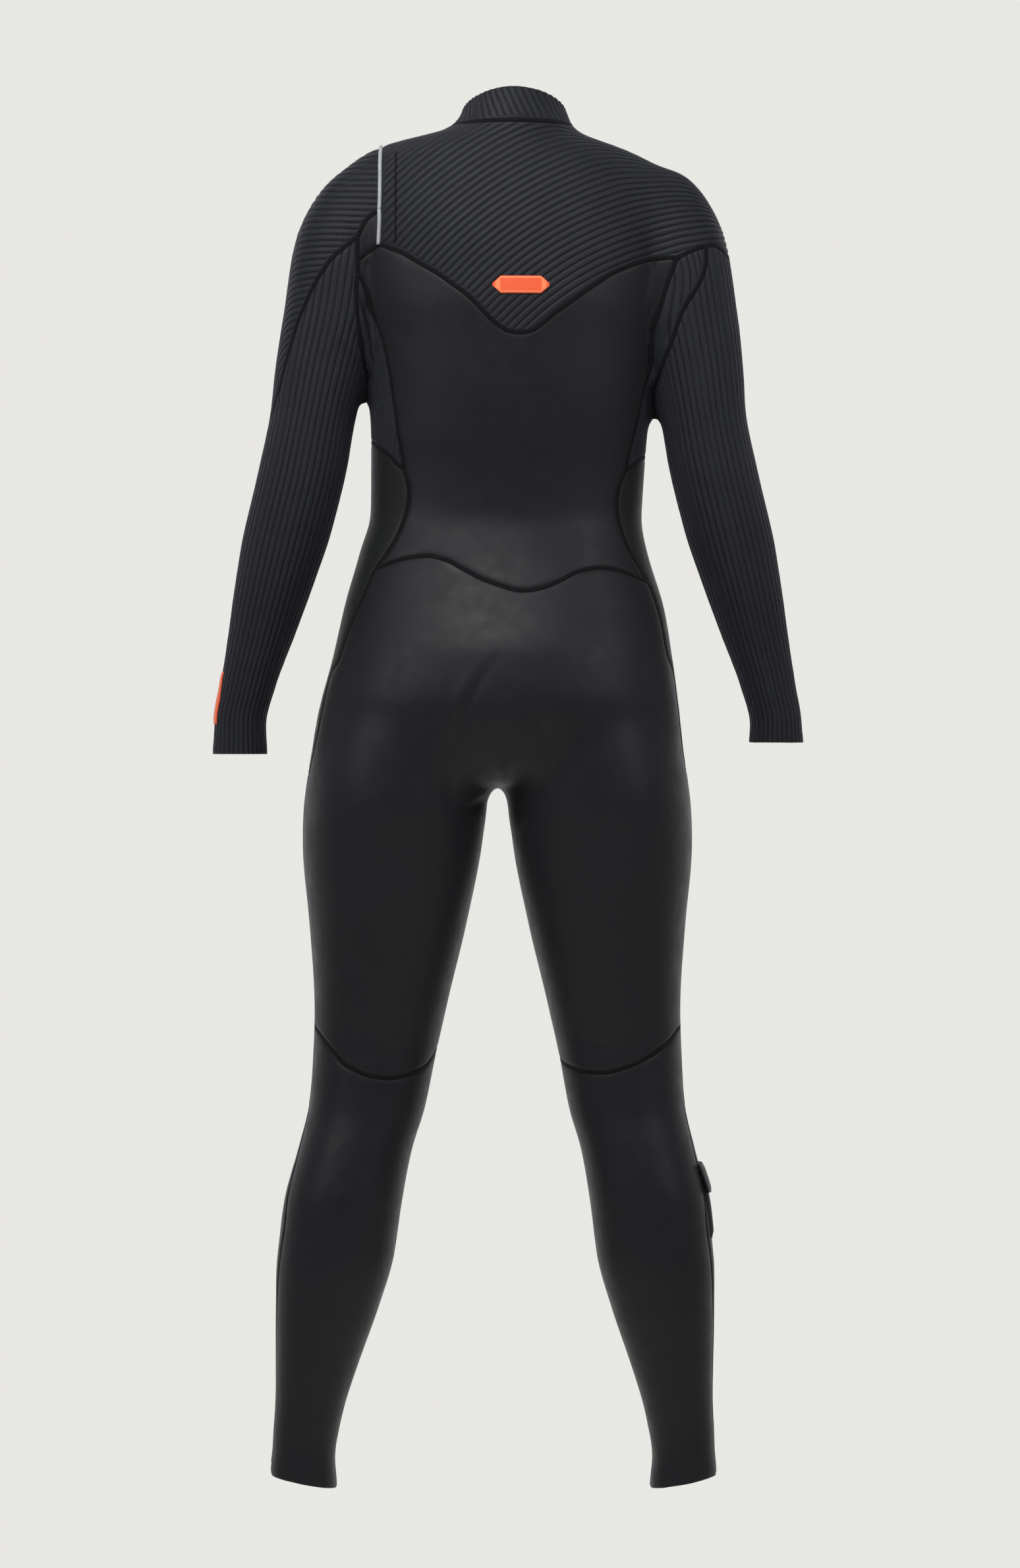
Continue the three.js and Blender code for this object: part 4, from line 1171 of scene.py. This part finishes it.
RUBBER = plain("smooth rubber", (0.008, 0.008, 0.009), 0.42, 500.0, 0.05 * MM)
RAW_EDGE = plain("raw pale edge", (0.34, 0.35, 0.38), 0.8, 900.0, 0.3 * MM, 0.8, Sheen_Weight=0.3)
TAPE = plain("zip tape", (0.012, 0.0125, 0.015), 0.75, 1200.0, 0.2 * MM, 0.9, Sheen_Weight=0.2)
PLASTIC = plain("moulded plastic", (0.016, 0.017, 0.02), 0.34, 260.0, 0.03 * MM)


# %% Orange patch with a stitched border
def patch_finish(name, colour, rim_colour):
    material, tree, shader = new_material(name, colour, 0.5, Sheen_Weight=0.1)
    u, w = attribute(tree, "u"), attribute(tree, "w")
    edge = math_node(tree, "MAXIMUM", math_node(tree, "ABSOLUTE", u),
                     math_node(tree, "ABSOLUTE", w))
    black, white = (0, 0, 0), (1, 1, 1)
    rim = ramp(tree, edge, [(0.70, black), (0.76, white), (0.86, white), (0.92, black)])
    weave = noise(tree, 1600.0, 1.0)
    tone = ramp(tree, weave, [(0.3, tuple(0.85 * c for c in colour)), (0.7, colour)])
    tree.links.new(mix(tree, rim, tone, rim_colour), shader.inputs["Base Color"])
    first = bump(tree, shader, rim, 0.3 * MM, 0.5)
    bump(tree, shader, weave, 0.12 * MM, 0.6, first)
    return material


ORANGE = patch_finish("orange patch", (0.83, 0.10, 0.022), (0.90, 0.22, 0.08))


# %% Give every piece its finish
def paint(piece, material):
    piece.data.materials.clear()
    piece.data.materials.append(material)


for name, panel in panels.items():
    if name in RIBS:
        paint(panel, RIBBED)
    elif "side" in name:
        paint(panel, SIDE)
    else:
        paint(panel, SMOOTH)
paint(seams, SEAM)
paint(yoke_stitches, LINE_STITCH)
paint(free_edge, RAW_EDGE)
for ring in seals:
    paint(ring, RUBBER)
paint(badge, ORANGE)
paint(wrist_tab, ORANGE)
paint(pocket, POCKET_CLOTH)
paint(flap, POCKET_CLOTH)
for name, node in frame["nodes"].items():
    if name.startswith("zip_tape"):
        paint(node, TAPE)
    elif name.startswith("zip_"):
        paint(node, PLASTIC)
    elif name == "inner_zip_barrier":
        paint(node, RUBBER)
        for polygon in node.data.polygons:
            polygon.use_smooth = False
print(len(bpy.data.materials), "materials")

# %% [markdown]
# ## Studio
# A suit on an unseen figure is shown against plain pale paper with no shadow, so the floor is a pale disc
# set well below the hems. The room is bright behind the suit and dimmer in front of it, which darkens the
# cloth but keeps the thin bright outline that pale paper gives. Soft lights from above do the modelling.

# %% Floor
FLOOR_Z = HEM_Z - 0.6
FLOOR_RADIUS = 2.4
FLOOR_SIDES = 96
turns = [2 * math.pi * i / FLOOR_SIDES for i in range(FLOOR_SIDES)]
floor_rim = [(FLOOR_RADIUS * math.cos(t), FLOOR_RADIUS * math.sin(t), FLOOR_Z) for t in turns]
floor_mesh = bpy.data.meshes.new("studio_floor")
floor_mesh.from_pydata(floor_rim, [], [tuple(range(FLOOR_SIDES))])
floor = bpy.data.objects.new("studio_floor", floor_mesh)
bpy.context.collection.objects.link(floor)
floor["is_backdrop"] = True
paper, _, paper_shader = new_material("pale paper", (0.20, 0.20, 0.20), 0.9)
paper_shader.inputs["Specular IOR Level"].default_value = 0.1
paper_shader.inputs["Emission Color"].default_value = (0.652, 0.643, 0.612, 1)
paper_shader.inputs["Emission Strength"].default_value = 1.0
paint(floor, paper)

# %% Room light: bright behind the suit, dim in front, and plain pale paper where it is looked at
ROOM_FRONT, ROOM_BEHIND = 0.26, 0.85
world = bpy.data.worlds.new("room")
bpy.context.scene.world = world
world.use_nodes = True
room, joins = world.node_tree.nodes, world.node_tree.links
lit = room["Background"]
lit.inputs["Color"].default_value = (0.985, 0.99, 1.0, 1)
facing = room.new("ShaderNodeSeparateXYZ")
joins.new(room.new("ShaderNodeTexCoord").outputs["Generated"], facing.inputs[0])
fall = room.new("ShaderNodeMapRange")
turn_dim = {"From Min": -0.8, "From Max": -0.2, "To Min": ROOM_BEHIND, "To Max": ROOM_FRONT}
for socket, value in turn_dim.items():
    fall.inputs[socket].default_value = value
joins.new(facing.outputs["Y"], fall.inputs["Value"])
joins.new(fall.outputs["Result"], lit.inputs["Strength"])
looked_at = room.new("ShaderNodeBackground")
looked_at.inputs["Color"].default_value = (0.812, 0.804, 0.773, 1)
choice = room.new("ShaderNodeMixShader")
joins.new(room.new("ShaderNodeLightPath").outputs["Is Camera Ray"], choice.inputs["Fac"])
joins.new(lit.outputs["Background"], choice.inputs[1])
joins.new(looked_at.outputs["Background"], choice.inputs[2])
joins.new(choice.outputs["Shader"], room["World Output"].inputs["Surface"])


# %% Soft lights and camera
def soft_light(name, at, aim, size, power):
    light = bpy.data.lights.new(name, "AREA")
    light.shape = "RECTANGLE"
    light.size, light.size_y = size
    light.energy = power
    lamp = bpy.data.objects.new(name, light)
    bpy.context.collection.objects.link(lamp)
    lamp.location = at
    lamp.rotation_euler = (Vector(aim) - Vector(at)).to_track_quat("-Z", "Y").to_euler()


CENTRE_Z = z_at(700)
soft_light("overhead softbox", (0.3, 1.4, 1.2), (0, 0, CENTRE_Z + 0.45), (1.2, 0.9), 34)
soft_light("left softbox", (1.7, 1.4, 0.45), (0, 0, CENTRE_Z + 0.3), (0.8, 1.2), 14)
soft_light("right softbox", (-1.7, 1.4, 0.45), (0, 0, CENTRE_Z + 0.3), (0.8, 1.2), 13)

CAMERA_X, CAMERA_Z, CAMERA_FAR, SEEN_HIGH, SENSOR = 0.0006, 686, 5.2, 1.547, 36.0
camera_data = bpy.data.cameras.new("camera")
camera_data.sensor_fit = "VERTICAL"
camera_data.sensor_height = SENSOR
camera_data.lens = SENSOR * CAMERA_FAR / SEEN_HIGH
camera = bpy.data.objects.new("camera", camera_data)
bpy.context.collection.objects.link(camera)
camera.location = (CAMERA_X, CAMERA_FAR, z_at(CAMERA_Z))
camera.rotation_euler = (math.pi / 2, 0, math.pi)
bpy.context.scene.camera = camera
bpy.context.scene.view_settings.view_transform = "Standard"
print("camera lens", round(camera_data.lens, 1), "mm")
